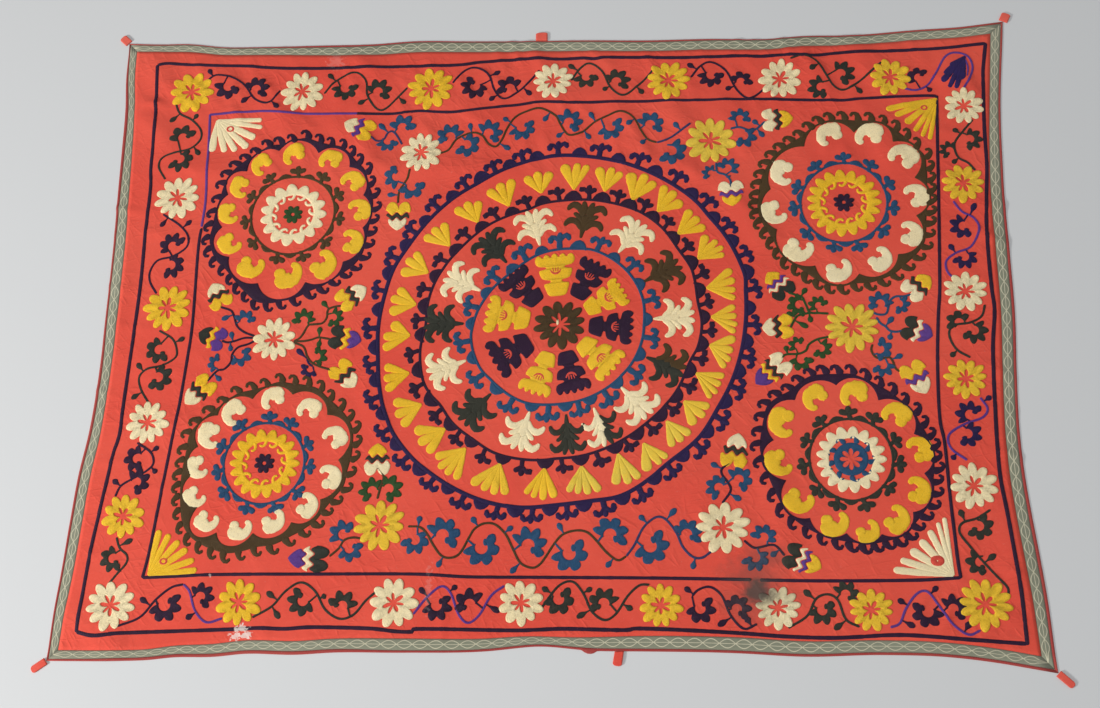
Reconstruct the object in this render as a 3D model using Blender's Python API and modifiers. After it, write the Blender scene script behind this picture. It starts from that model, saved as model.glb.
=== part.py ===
"""An embroidered cotton cover, lying face up.

Every piece is a thin sheet that follows the same creases: the red panel, a length of braid along
each side, the red edging that shows outside the braid, and six short loops of tape. Metres, +Z up,
+X along the long side, +Y towards the top edge. The underside rests on Z = 0.
"""

import math

import bmesh
import bpy
import numpy as np

# Driving dimensions
PATTERN_CENTRE = (0.0058, -0.0001)  # from the middle of the whole outline to the pattern's centre
PANEL_THICK = 0.0015
BRAID_THICK = 0.0018
EDGING_THICK = 0.0012
TAB_THICK = 0.0022
PIECE_GAP = 0.0003  # between pieces that are sewn edge to edge
MITRE_GAP = 0.00025  # each mitred end stops this far short of its corner
LONG_CELLS = 52  # steps along the top and bottom
SHORT_CELLS = 36  # steps along the left and right
TAB_CELLS = (6, 4)  # steps along and across a tab
TAB_ROUNDING = 0.12  # share of a tab's length by which its tip's corners fall back
LIES_FLAT = 0.0003  # a rise smaller than this is pressed flat

# The sewn line between panel and braid on each side, measured from the pattern's centre.
# Columns: place along the side, place of the line. Each side starts and ends at a corner.
TOP_SEAM = (
    (-0.700, 0.4910),
    (-0.660, 0.4885),
    (-0.615, 0.4875),
    (-0.555, 0.4800),
    (-0.480, 0.4775),
    (-0.390, 0.4740),
    (-0.300, 0.4715),
    (-0.230, 0.4745),
    (-0.150, 0.4720),
    (-0.060, 0.4695),
    (0.040, 0.4680),
    (0.140, 0.4645),
    (0.240, 0.4640),
    (0.330, 0.4612),
    (0.385, 0.4650),
    (0.460, 0.4645),
    (0.560, 0.4705),
    (0.630, 0.4735),
    (0.671, 0.4780),
)
BOTTOM_SEAM = (
    (-0.691, -0.4890),
    (-0.600, -0.4878),
    (-0.560, -0.4855),
    (-0.520, -0.4798),
    (-0.460, -0.4760),
    (-0.420, -0.4708),
    (-0.340, -0.4700),
    (-0.290, -0.4660),
    (-0.190, -0.4640),
    (-0.070, -0.4620),
    (-0.020, -0.4583),
    (0.060, -0.4582),
    (0.150, -0.4548),
    (0.280, -0.4546),
    (0.370, -0.4583),
    (0.470, -0.4553),
    (0.560, -0.4572),
    (0.620, -0.4635),
    (0.679, -0.4730),
)
LEFT_SEAM = (
    (-0.4890, -0.6910),
    (-0.440, -0.6893),
    (-0.380, -0.6848),
    (-0.300, -0.6815),
    (-0.230, -0.6785),
    (-0.170, -0.6725),
    (-0.100, -0.6700),
    (0.000, -0.6700),
    (0.080, -0.6716),
    (0.160, -0.6752),
    (0.230, -0.6795),
    (0.310, -0.6845),
    (0.390, -0.6905),
    (0.440, -0.6970),
    (0.4910, -0.7000),
)
RIGHT_SEAM = (
    (-0.4730, 0.6790),
    (-0.400, 0.6730),
    (-0.340, 0.6660),
    (-0.280, 0.6590),
    (-0.220, 0.6540),
    (-0.160, 0.6522),
    (-0.080, 0.6540),
    (0.020, 0.6578),
    (0.100, 0.6568),
    (0.220, 0.6552),
    (0.290, 0.6580),
    (0.360, 0.6625),
    (0.420, 0.6668),
    (0.4780, 0.6710),
)

# Widths along each side. Columns: share of the side's length, braid's width, edging's width.
TOP_WIDTHS = (
    (0.00, 0.0120, 0.0020),
    (0.06, 0.0130, 0.0014),
    (0.16, 0.0132, 0.0014),
    (0.23, 0.0150, 0.0030),
    (0.29, 0.0172, 0.0026),
    (0.45, 0.0178, 0.0014),
    (0.66, 0.0165, 0.0026),
    (0.75, 0.0172, 0.0014),
    (0.85, 0.0152, 0.0024),
    (1.00, 0.0150, 0.0030),
)
BOTTOM_WIDTHS = (
    (0.00, 0.0120, 0.0030),
    (0.09, 0.0105, 0.0042),
    (0.17, 0.0132, 0.0046),
    (0.28, 0.0140, 0.0048),
    (0.37, 0.0160, 0.0032),
    (0.48, 0.0125, 0.0032),
    (0.51, 0.0105, 0.0030),
    (0.57, 0.0152, 0.0036),
    (0.70, 0.0175, 0.0036),
    (0.83, 0.0158, 0.0036),
    (1.00, 0.0140, 0.0040),
)
LEFT_WIDTHS = (
    (0.00, 0.0120, 0.0030),
    (0.10, 0.0148, 0.0034),
    (0.25, 0.0150, 0.0042),
    (0.40, 0.0135, 0.0046),
    (0.55, 0.0160, 0.0034),
    (0.75, 0.0142, 0.0044),
    (0.90, 0.0108, 0.0050),
    (1.00, 0.0120, 0.0020),
)
RIGHT_WIDTHS = (
    (0.00, 0.0140, 0.0040),
    (0.15, 0.0160, 0.0046),
    (0.35, 0.0155, 0.0038),
    (0.55, 0.0152, 0.0040),
    (0.75, 0.0155, 0.0034),
    (0.88, 0.0130, 0.0030),
    (1.00, 0.0150, 0.0030),
)

# Seam, widths, whether the side runs along X, and which way is outwards.
SIDES = {
    "top": (TOP_SEAM, TOP_WIDTHS, True, 1),
    "bottom": (BOTTOM_SEAM, BOTTOM_WIDTHS, True, -1),
    "left": (LEFT_SEAM, LEFT_WIDTHS, False, -1),
    "right": (RIGHT_SEAM, RIGHT_WIDTHS, False, 1),
}
# The side that meets each side at its start and at its end, and the end of that side.
NEIGHBOURS = {
    "top": (("left", -1), ("right", -1)),
    "bottom": (("left", 0), ("right", 0)),
    "left": (("bottom", 0), ("top", 0)),
    "right": (("bottom", -1), ("top", -1)),
}

# Main creases, as soft ridges. Columns: middle x, y, heading in degrees, length, half width, rise.
CREASES = (
    (-0.190, 0.268, -3, 0.28, 0.020, 0.0034),
    (0.195, 0.258, -12, 0.16, 0.020, 0.0028),
    (-0.435, 0.352, -44, 0.12, 0.022, 0.0036),
    (-0.330, 0.330, -38, 0.10, 0.020, 0.0022),
    (-0.555, 0.272, -14, 0.12, 0.022, 0.0034),
    (-0.652, 0.350, -48, 0.10, 0.022, 0.0040),
    (-0.655, 0.450, -62, 0.09, 0.024, 0.0036),
    (-0.560, 0.440, -40, 0.11, 0.022, 0.0026),
    (-0.135, 0.368, -30, 0.13, 0.022, 0.0032),
    (0.040, 0.388, 4, 0.20, 0.020, 0.0030),
    (0.105, 0.348, -50, 0.09, 0.020, 0.0026),
    (0.190, 0.352, -54, 0.10, 0.020, 0.0034),
    (0.275, 0.335, -50, 0.09, 0.020, 0.0030),
    (0.300, 0.172, -58, 0.12, 0.022, 0.0034),
    (0.400, 0.420, -52, 0.10, 0.022, 0.0036),
    (0.480, 0.440, -48, 0.10, 0.022, 0.0034),
    (0.505, 0.300, -66, 0.11, 0.022, 0.0036),
    (0.620, 0.400, -70, 0.10, 0.022, 0.0030),
    (0.215, -0.236, 13, 0.19, 0.022, 0.0032),
    (0.335, -0.255, -72, 0.12, 0.022, 0.0032),
    (-0.255, -0.120, -70, 0.11, 0.020, 0.0020),
    (-0.550, -0.150, -10, 0.09, 0.020, 0.0026),
    (-0.676, 0.060, 88, 0.16, 0.022, 0.0024),
    (-0.500, -0.410, 58, 0.10, 0.022, 0.0022),
    (0.650, -0.330, -80, 0.17, 0.022, 0.0030),
    (-0.640, -0.462, -35, 0.11, 0.022, 0.0034),
    (-0.025, 0.448, -38, 0.08, 0.022, 0.0030),
    (-0.300, 0.446, -50, 0.09, 0.022, 0.0024),
)

# Tape loops. Columns: name, side, share along it, heading in degrees, length, width. A loop at
# share 0 or 1 is sewn to that corner.
TABS = (
    ("tab_top_left", "top", 0.0, 137, 0.0175, 0.0125),
    ("tab_top_middle", "top", 0.491, 92, 0.0150, 0.0185),
    ("tab_top_right", "top", 1.0, 66, 0.0150, 0.0135),
    ("tab_bottom_left", "bottom", 0.0, 216, 0.0240, 0.0105),
    ("tab_bottom_middle", "bottom", 0.588, 262, 0.0200, 0.0125),
    ("tab_bottom_right", "bottom", 1.0, 318, 0.0250, 0.0095),
)

# Colours, linear. Columns: base colour, roughness.
FINISHES = {
    "panel": ((0.70, 0.045, 0.032), 0.85),
    "braid": ((0.17, 0.19, 0.13), 0.75),
    "edging": ((0.42, 0.05, 0.05), 0.85),
    "tab": ((0.75, 0.06, 0.035), 0.80),
}


def curve_through(table, at, column=1):
    """A cubic curve through the table's rows, with each row's slope taken from its neighbours."""
    rows = np.array(table)
    x, y = rows[:, 0], rows[:, column]
    slope = np.gradient(y, x)
    i = np.clip(np.searchsorted(x, at, side="right") - 1, 0, len(x) - 2)
    span = x[i + 1] - x[i]
    t = (at - x[i]) / span
    start = (1 + 2 * t) * (1 - t) ** 2 * y[i] + t * (1 - t) ** 2 * span * slope[i]
    end = t * t * (3 - 2 * t) * y[i + 1] - t * t * (1 - t) * span * slope[i + 1]
    return start + end


def lift(x, y):
    """Height of the underside: the sum of the creases, each highest along its middle."""
    height = np.zeros_like(x)
    for middle_x, middle_y, heading, length, half_width, rise in CREASES:
        turn = math.radians(heading)
        along = (x - middle_x) * math.cos(turn) + (y - middle_y) * math.sin(turn)
        across = (y - middle_y) * math.cos(turn) - (x - middle_x) * math.sin(turn)
        height += rise * np.exp(-((across / half_width) ** 2) - (2 * along / length) ** 4)
    return np.maximum(height - LIES_FLAT, 0.0)


def seam(side, share):
    """Points of the sewn line at these shares of the side's length, one row each."""
    table, _, along_x, _ = SIDES[side]
    place = table[0][0] + (table[-1][0] - table[0][0]) * share
    line = curve_through(table, place)
    return np.stack((place, line) if along_x else (line, place), axis=1)


def outwards(side, share):
    """Unit vectors square to the sewn line, pointing away from the panel."""
    step = 1e-4
    low, high = np.maximum(share - step, 0), np.minimum(share + step, 1)
    run = seam(side, high) - seam(side, low)
    run /= np.linalg.norm(run, axis=1)[:, None]
    square = np.stack((-run[:, 1], run[:, 0]), axis=1)
    _, _, along_x, sign = SIDES[side]
    return square * sign if along_x else -square * sign


def corner_way(side, end):
    """From a corner, the step that moves both of its sides outwards by one."""
    share = np.array([float(end)])
    own = outwards(side, share)[0]
    other_side, other_end = NEIGHBOURS[side][end]
    other = outwards(other_side, np.array([1.0 if other_end else 0.0]))[0]
    return (own + other) / (1 + own @ other)


def rail(side, share, out):
    """The sewn line moved outwards by out, with mitred ends."""
    points = seam(side, share) + outwards(side, share) * out[:, None]
    line = seam(side, share)
    for end, index in ((0, 0), (1, -1)):
        if share[index] != end:
            continue
        inner = index + (1 if end == 0 else -1)
        inwards = line[inner] - line[index]
        inwards /= np.linalg.norm(inwards)
        points[index] = line[index] + corner_way(side, end) * out[index] + inwards * MITRE_GAP
    return points


def widths(side, share):
    """Braid's and edging's widths at these shares of the side."""
    table = SIDES[side][1]
    return curve_through(table, share, 1), curve_through(table, share, 2)


def laid_sheet(name, cells, place, thick, material, collection, frame):
    """A grid of the unit square, placed by a function of (u, v), lifted over the creases."""
    grid = bmesh.new()
    bmesh.ops.create_grid(grid, x_segments=cells[0], y_segments=cells[1], size=0.5)
    unit = np.array([vertex.co[:2] for vertex in grid.verts]) + 0.5
    x, y = place(unit[:, 0], unit[:, 1])
    for vertex, point in zip(grid.verts, zip(x, y, lift(x, y))):
        vertex.co = point
    bmesh.ops.recalc_face_normals(grid, faces=grid.faces)
    if grid.faces[0].normal.z < 0:
        bmesh.ops.reverse_faces(grid, faces=grid.faces)
    mesh = bpy.data.meshes.new(name)
    grid.to_mesh(mesh)
    grid.free()
    mesh.materials.append(material)
    mesh.shade_smooth()
    sheet = bpy.data.objects.new(name, mesh)
    collection.objects.link(sheet)
    sheet.parent = frame
    solidify = sheet.modifiers.new("thickness", "SOLIDIFY")
    solidify.thickness = thick
    solidify.offset = 1
    return sheet


def panel_place(u, v):
    """A patch between the four sewn lines: each pair of opposite lines blended, less the corners."""
    upright = (1 - v)[:, None] * seam("bottom", u) + v[:, None] * seam("top", u)
    level = (1 - u)[:, None] * seam("left", v) + u[:, None] * seam("right", v)
    corners = {
        (i, j): seam("top" if j else "bottom", np.array([float(i)]))[0] for i in (0, 1) for j in (0, 1)
    }
    low = (1 - u)[:, None] * corners[0, 0] + u[:, None] * corners[1, 0]
    high = (1 - u)[:, None] * corners[0, 1] + u[:, None] * corners[1, 1]
    points = upright + level - (1 - v)[:, None] * low - v[:, None] * high
    return points.T


def strip_place(side, inner, outer):
    """A band along one side between two distances from the sewn line, both functions of share."""

    def place(u, v):
        stations = np.unique(np.round(u, 6))
        index = np.searchsorted(stations, np.round(u, 6))
        near = rail(side, stations, inner(stations))[index]
        far = rail(side, stations, outer(stations))[index]
        return (near + (far - near) * v[:, None]).T

    return place


def braid_edges(side):
    """Inner and outer distances of the braid from the sewn line."""
    return (
        lambda share: np.full_like(share, PIECE_GAP),
        lambda share: PIECE_GAP + widths(side, share)[0],
    )


def edging_edges(side):
    """Inner and outer distances of the edging from the sewn line."""
    return (
        lambda share: 2 * PIECE_GAP + widths(side, share)[0],
        lambda share: 2 * PIECE_GAP + sum(widths(side, share)),
    )


def tab_place(side, share, heading, length, width):
    """A short tape from its root against the edging to a rounded tip."""
    at = np.array([share])
    out = 3 * PIECE_GAP + float(sum(widths(side, at))[0])
    way = np.array((math.cos(math.radians(heading)), math.sin(math.radians(heading))))
    across = np.array((-way[1], way[0]))
    root_across = across
    if share in (0.0, 1.0):
        root = seam(side, at)[0] + corner_way(side, int(share)) * out
    else:
        normal = outwards(side, at)[0]
        root = seam(side, at)[0] + normal * out
        root_across = np.array((-normal[1], normal[0]))

    def place(u, v):
        from_middle = (v - 0.5)[:, None] * width
        reach = length * (1 - TAB_ROUNDING * (2 * v - 1) ** 4)
        start = root + root_across * from_middle
        end = root + way * reach[:, None] + across * from_middle
        return (start + (end - start) * u[:, None]).T

    return place


def finish(name):
    """A Principled material with the piece's colour and roughness."""
    colour, roughness = FINISHES[name]
    material = bpy.data.materials.new(name)
    material.use_nodes = True
    shader = material.node_tree.nodes["Principled BSDF"]
    shader.inputs["Base Color"].default_value = (*colour, 1)
    shader.inputs["Roughness"].default_value = roughness
    shader.inputs["Metallic"].default_value = 0
    return material


def build():
    for thing in list(bpy.data.objects):
        bpy.data.objects.remove(thing, do_unlink=True)
    collection = bpy.data.collections.new("Embroidered cover")
    bpy.context.scene.collection.children.link(collection)
    frame = bpy.data.objects.new("pattern_centre", None)
    frame.location = (*PATTERN_CENTRE, 0)
    collection.objects.link(frame)

    cells = (LONG_CELLS, SHORT_CELLS)
    laid_sheet("panel", cells, panel_place, PANEL_THICK, finish("panel"), collection, frame)
    for side, (_, _, along_x, _) in SIDES.items():
        cells = (LONG_CELLS if along_x else SHORT_CELLS, 1)
        braid = strip_place(side, *braid_edges(side))
        laid_sheet(f"braid_{side}", cells, braid, BRAID_THICK, finish("braid"), collection, frame)
        edging = strip_place(side, *edging_edges(side))
        laid_sheet(f"edging_{side}", cells, edging, EDGING_THICK, finish("edging"), collection, frame)
    for name, side, share, heading, length, width in TABS:
        tab = tab_place(side, share, heading, length, width)
        laid_sheet(name, TAB_CELLS, tab, TAB_THICK, finish("tab"), collection, frame)


build()
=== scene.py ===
import math

import bpy
import numpy as np
from mathutils import Matrix


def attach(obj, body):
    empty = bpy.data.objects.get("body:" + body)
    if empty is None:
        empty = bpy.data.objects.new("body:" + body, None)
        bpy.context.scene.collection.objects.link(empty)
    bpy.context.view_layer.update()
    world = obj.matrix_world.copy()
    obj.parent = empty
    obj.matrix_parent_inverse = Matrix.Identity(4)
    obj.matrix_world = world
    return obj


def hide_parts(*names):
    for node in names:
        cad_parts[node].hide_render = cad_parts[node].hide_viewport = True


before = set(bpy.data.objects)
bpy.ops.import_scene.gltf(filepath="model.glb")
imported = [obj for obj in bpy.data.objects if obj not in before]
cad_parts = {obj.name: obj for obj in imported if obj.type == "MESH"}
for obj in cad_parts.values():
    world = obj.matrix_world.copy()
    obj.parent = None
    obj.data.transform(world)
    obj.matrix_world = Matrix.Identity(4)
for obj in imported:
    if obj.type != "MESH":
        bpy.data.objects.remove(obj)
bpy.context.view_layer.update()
print("frame loaded")

mm = 0.001
patternX, patternY = 0.0058, -0.0001  # the pattern's centre, in the frame
clothColl = bpy.data.collections.new("Embroidered cover")
bpy.context.scene.collection.children.link(clothColl)

# Camera: over the lower edge, a little to the right, looking down as the photograph does
camera = dict(
    place=(0.2631, -0.7748, 2.0814),  # from the pattern's centre
    right=(0.9932, 0.03379, -0.11145),
    up=(0.00511, 0.94341, 0.33158),
    focal=1500,  # picture widths are 1100
    pictureWide=1100,
)
camData = bpy.data.cameras.new("view")
camData.sensor_width = 36
camData.lens = camera["focal"] / camera["pictureWide"] * camData.sensor_width
cam = bpy.data.objects.new("view", camData)
bpy.context.scene.collection.objects.link(cam)
back = np.cross(camera["right"], camera["up"])
axes = np.stack((camera["right"], camera["up"], back), 1)
cam.rotation_euler = Matrix(axes.tolist()).to_euler()
cam.location = np.array(camera["place"]) + (patternX, patternY, 0)
bpy.context.scene.camera = cam
bpy.context.scene.view_settings.view_transform = "Standard"

# The sewn line between panel and braid, in metres from the pattern's centre: (along, line)
topSeam = (
    (-0.700, 0.4910), (-0.660, 0.4885), (-0.615, 0.4875), (-0.555, 0.4800), (-0.480, 0.4775),
    (-0.390, 0.4740), (-0.300, 0.4715), (-0.230, 0.4745), (-0.150, 0.4720), (-0.060, 0.4695),
    (0.040, 0.4680), (0.140, 0.4645), (0.240, 0.4640), (0.330, 0.4612), (0.385, 0.4650),
    (0.460, 0.4645), (0.560, 0.4705), (0.630, 0.4735), (0.671, 0.4780),
)
bottomSeam = (
    (-0.691, -0.4890), (-0.600, -0.4878), (-0.560, -0.4855), (-0.520, -0.4798), (-0.460, -0.4760),
    (-0.420, -0.4708), (-0.340, -0.4700), (-0.290, -0.4660), (-0.190, -0.4640), (-0.070, -0.4620),
    (-0.020, -0.4583), (0.060, -0.4582), (0.150, -0.4548), (0.280, -0.4546), (0.370, -0.4583),
    (0.470, -0.4553), (0.560, -0.4572), (0.620, -0.4635), (0.679, -0.4730),
)
leftSeam = (
    (-0.4890, -0.6910), (-0.440, -0.6893), (-0.380, -0.6848), (-0.300, -0.6815), (-0.230, -0.6785),
    (-0.170, -0.6725), (-0.100, -0.6700), (0.000, -0.6700), (0.080, -0.6716), (0.160, -0.6752),
    (0.230, -0.6795), (0.310, -0.6845), (0.390, -0.6905), (0.440, -0.6970), (0.4910, -0.7000),
)
rightSeam = (
    (-0.4730, 0.6790), (-0.400, 0.6730), (-0.340, 0.6660), (-0.280, 0.6590), (-0.220, 0.6540),
    (-0.160, 0.6522), (-0.080, 0.6540), (0.020, 0.6578), (0.100, 0.6568), (0.220, 0.6552),
    (0.290, 0.6580), (0.360, 0.6625), (0.420, 0.6668), (0.4780, 0.6710),
)

# Widths along each side: share of its length, braid's width, edging's width
topWidths = (
    (0.00, 0.0120, 0.0020), (0.06, 0.0130, 0.0014), (0.16, 0.0132, 0.0014), (0.23, 0.0150, 0.0030),
    (0.29, 0.0172, 0.0026), (0.45, 0.0178, 0.0014), (0.66, 0.0165, 0.0026), (0.75, 0.0172, 0.0014),
    (0.85, 0.0152, 0.0024), (1.00, 0.0150, 0.0030),
)
bottomWidths = (
    (0.00, 0.0120, 0.0030), (0.09, 0.0105, 0.0042), (0.17, 0.0132, 0.0046), (0.28, 0.0140, 0.0048),
    (0.37, 0.0160, 0.0032), (0.48, 0.0125, 0.0032), (0.51, 0.0105, 0.0030), (0.57, 0.0152, 0.0036),
    (0.70, 0.0175, 0.0036), (0.83, 0.0158, 0.0036), (1.00, 0.0140, 0.0040),
)
leftWidths = (
    (0.00, 0.0120, 0.0030), (0.10, 0.0148, 0.0034), (0.25, 0.0150, 0.0042), (0.40, 0.0135, 0.0046),
    (0.55, 0.0160, 0.0034), (0.75, 0.0142, 0.0044), (0.90, 0.0108, 0.0050), (1.00, 0.0120, 0.0020),
)
rightWidths = (
    (0.00, 0.0140, 0.0040), (0.15, 0.0160, 0.0046), (0.35, 0.0155, 0.0038), (0.55, 0.0152, 0.0040),
    (0.75, 0.0155, 0.0034), (0.88, 0.0130, 0.0030), (1.00, 0.0150, 0.0030),
)

# Seam, widths, whether the side runs along X, and which way is outwards
sides = {
    "top": (topSeam, topWidths, True, 1),
    "bottom": (bottomSeam, bottomWidths, True, -1),
    "left": (leftSeam, leftWidths, False, -1),
    "right": (rightSeam, rightWidths, False, 1),
}
# The side that meets each side at its start and at its end, and the end of that side
neighbours = {
    "top": (("left", 1), ("right", 1)),
    "bottom": (("left", 0), ("right", 0)),
    "left": (("bottom", 0), ("top", 0)),
    "right": (("bottom", 1), ("top", 1)),
}

# Main creases: middle x, y, heading in degrees, length, half width, rise
creases = (
    (-0.190, 0.268, -3, 0.28, 0.020, 0.0034), (0.195, 0.258, -12, 0.16, 0.020, 0.0028),
    (-0.435, 0.352, -44, 0.12, 0.022, 0.0036), (-0.330, 0.330, -38, 0.10, 0.020, 0.0022),
    (-0.555, 0.272, -14, 0.12, 0.022, 0.0034), (-0.652, 0.350, -48, 0.10, 0.022, 0.0040),
    (-0.655, 0.450, -62, 0.09, 0.024, 0.0036), (-0.560, 0.440, -40, 0.11, 0.022, 0.0026),
    (-0.135, 0.368, -30, 0.13, 0.022, 0.0032), (0.040, 0.388, 4, 0.20, 0.020, 0.0030),
    (0.105, 0.348, -50, 0.09, 0.020, 0.0026), (0.190, 0.352, -54, 0.10, 0.020, 0.0034),
    (0.275, 0.335, -50, 0.09, 0.020, 0.0030), (0.300, 0.172, -58, 0.12, 0.022, 0.0034),
    (0.400, 0.420, -52, 0.10, 0.022, 0.0036), (0.480, 0.440, -48, 0.10, 0.022, 0.0034),
    (0.505, 0.300, -66, 0.11, 0.022, 0.0036), (0.620, 0.400, -70, 0.10, 0.022, 0.0030),
    (0.215, -0.236, 13, 0.19, 0.022, 0.0032), (0.335, -0.255, -72, 0.12, 0.022, 0.0032),
    (-0.255, -0.120, -70, 0.11, 0.020, 0.0020), (-0.550, -0.150, -10, 0.09, 0.020, 0.0026),
    (-0.676, 0.060, 88, 0.16, 0.022, 0.0024), (-0.500, -0.410, 58, 0.10, 0.022, 0.0022),
    (0.650, -0.330, -80, 0.17, 0.022, 0.0030), (-0.640, -0.462, -35, 0.11, 0.022, 0.0034),
    (-0.025, 0.448, -38, 0.08, 0.022, 0.0030), (-0.300, 0.446, -50, 0.09, 0.022, 0.0024),
)
liesFlat = 0.0003  # a rise smaller than this is pressed flat

# Small puckers, sown in patches: x from, x to, y from, y to, how many, heading, length, rise
puckerPatches = (
    (-0.64, 0.64, 0.376, 0.470, 84, -52, 0.052, 0.0017),
    (-0.54, 0.56, 0.260, 0.366, 52, -48, 0.054, 0.0016),
    (-0.69, -0.57, -0.44, 0.44, 40, -14, 0.050, 0.0014),
    (0.57, 0.66, -0.44, 0.44, 36, -22, 0.048, 0.0014),
    (-0.64, 0.64, -0.460, -0.376, 30, 70, 0.044, 0.0010),
    (-0.54, 0.54, -0.36, 0.26, 74, -35, 0.046, 0.0010),
)
puckerWidth = 0.0065
puckerSpread = 22  # degrees either way
sower = np.random.default_rng(11)
puckers = []
for xFrom, xTo, yFrom, yTo, count, heading, length, rise in puckerPatches:
    for _ in range(count):
        puckers.append((
            sower.uniform(xFrom, xTo),
            sower.uniform(yFrom, yTo),
            heading + sower.uniform(-puckerSpread, puckerSpread),
            length * sower.uniform(0.6, 1.5),
            puckerWidth * sower.uniform(0.7, 1.4),
            rise * sower.uniform(0.35, 1.25),
        ))


# A cubic curve through the rows of a table, each row's slope taken from its neighbours
def curveThrough(rows, at, column=1):
    rows = np.array(rows)
    x, y = rows[:, 0], rows[:, column]
    slope = np.gradient(y, x)
    i = np.clip(np.searchsorted(x, at, side="right") - 1, 0, len(x) - 2)
    span = x[i + 1] - x[i]
    t = (at - x[i]) / span
    start = (1 + 2 * t) * (1 - t) ** 2 * y[i] + t * (1 - t) ** 2 * span * slope[i]
    end = t * t * (3 - 2 * t) * y[i + 1] - t * t * (1 - t) * span * slope[i + 1]
    return start + end


# Sum of ridges, each highest along its middle line and falling off across it as a bell
def ridges(table, x, y):
    height = np.zeros_like(x)
    for middleX, middleY, heading, length, halfWidth, rise in table:
        near = (abs(x - middleX) < length) & (abs(y - middleY) < length)
        if not near.any():
            continue
        px, py = x[near] - middleX, y[near] - middleY
        turn = math.radians(heading)
        along = px * math.cos(turn) + py * math.sin(turn)
        across = py * math.cos(turn) - px * math.sin(turn)
        height[near] += rise * np.exp(-((across / halfWidth) ** 2) - (2 * along / length) ** 4)
    return height


# Height of the cloth's underside at points measured from the pattern's centre
def lift(x, y):
    return np.maximum(ridges(creases, x, y) - liesFlat, 0) + ridges(puckers, x, y)


# Points of the sewn line at these shares of the side's length
def seam(side, share):
    rows, _, alongX, _ = sides[side]
    place = rows[0][0] + (rows[-1][0] - rows[0][0]) * share
    line = curveThrough(rows, place)
    return np.stack((place, line) if alongX else (line, place), axis=1)


# Unit vectors square to the sewn line, pointing away from the panel
def outwards(side, share):
    step = 1e-4
    run = seam(side, np.minimum(share + step, 1)) - seam(side, np.maximum(share - step, 0))
    run /= np.linalg.norm(run, axis=1)[:, None]
    _, _, alongX, sign = sides[side]
    return np.stack((-run[:, 1], run[:, 0]), axis=1) * (sign if alongX else -sign)


# From a corner, the step that moves both of its sides outwards by one
def cornerWay(side, end):
    own = outwards(side, np.array([float(end)]))[0]
    otherSide, otherEnd = neighbours[side][end]
    other = outwards(otherSide, np.array([float(otherEnd)]))[0]
    return (own + other) / (1 + own @ other)


# The sewn line moved outwards by out, with its ends on the mitres
def rail(side, share, out):
    mitreGap = 0.00025
    line = seam(side, share)
    points = line + outwards(side, share) * out[:, None]
    for end, index in ((0, 0), (1, -1)):
        inner = index + (1 if end == 0 else -1)
        inwards = line[inner] - line[index]
        inwards /= np.linalg.norm(inwards)
        points[index] = line[index] + cornerWay(side, end) * out[index] + inwards * mitreGap
    return points


# A mesh from points in metres, faces of four and three corners, and a UV pair for each corner
def putMesh(name, points, quads, tris=None, quadUv=None, triUv=None, shade=None, smooth=True):
    tris = np.zeros((0, 3), int) if tris is None else tris
    mesh = bpy.data.meshes.new(name)
    mesh.vertices.add(len(points))
    mesh.vertices.foreach_set("co", np.asarray(points, np.float32).ravel())
    corners = np.concatenate((quads.ravel(), tris.ravel())).astype(np.int32)
    starts = np.concatenate((
        np.arange(len(quads)) * 4,
        len(quads) * 4 + np.arange(len(tris)) * 3,
    )).astype(np.int32)
    mesh.loops.add(len(corners))
    mesh.loops.foreach_set("vertex_index", corners)
    mesh.polygons.add(len(starts))
    mesh.polygons.foreach_set("loop_start", starts)
    if quadUv is not None:
        layer = mesh.uv_layers.new(name="UVMap")
        pairs = [quadUv.reshape(-1, 2)] + ([triUv.reshape(-1, 2)] if len(tris) else [])
        layer.uv.foreach_set("vector", np.concatenate(pairs).astype(np.float32).ravel())
    if shade is not None:
        attribute = mesh.attributes.new("shade", "FLOAT", "POINT")
        attribute.data.foreach_set("value", np.asarray(shade, np.float32))
    mesh.update(calc_edges=True)
    mesh.validate()
    if smooth:
        mesh.shade_smooth()
    piece = bpy.data.objects.new(name, mesh)
    clothColl.objects.link(piece)
    return piece


# A closed sheet between two grids of points, its rim joined all round
def closedSheet(name, low, high, uv=None):
    rows, columns = low.shape[:2]
    index = np.arange(rows * columns).reshape(rows, columns)
    top = np.stack((index[:-1, :-1], index[1:, :-1], index[1:, 1:], index[:-1, 1:]), -1)
    top = top.reshape(-1, 4) + rows * columns
    bottom = (top - rows * columns)[:, ::-1]
    rim = np.concatenate((index[:, 0], index[-1, 1:], index[-2::-1, -1], index[0, -2:0:-1]))
    after = np.roll(rim, -1)
    wall = np.stack((rim, after, after + rows * columns, rim + rows * columns), -1)
    quads = np.concatenate((top, bottom, wall))
    points = np.concatenate((low.reshape(-1, 3), high.reshape(-1, 3)))
    pairs = None if uv is None else np.tile(uv.reshape(-1, 2), (2, 1))[quads]
    return putMesh(name, points, quads, quadUv=pairs)


# A point grid in the frame from pattern coordinates and a height above the table
def framed(x, y, z):
    return np.stack((x + patternX, y + patternY, z), axis=-1)


# Shader helpers
def nodeGroup(name, inputs, outputs):
    tree = bpy.data.node_groups.new(name, "ShaderNodeTree")
    for label, default in inputs.items():
        socket = tree.interface.new_socket(label, in_out="INPUT", socket_type="NodeSocketFloat")
        socket.default_value = default
    for label in outputs:
        tree.interface.new_socket(label, in_out="OUTPUT", socket_type="NodeSocketFloat")
    entry = tree.nodes.new("NodeGroupInput")
    leave = tree.nodes.new("NodeGroupOutput")
    return tree, entry, leave


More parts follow.
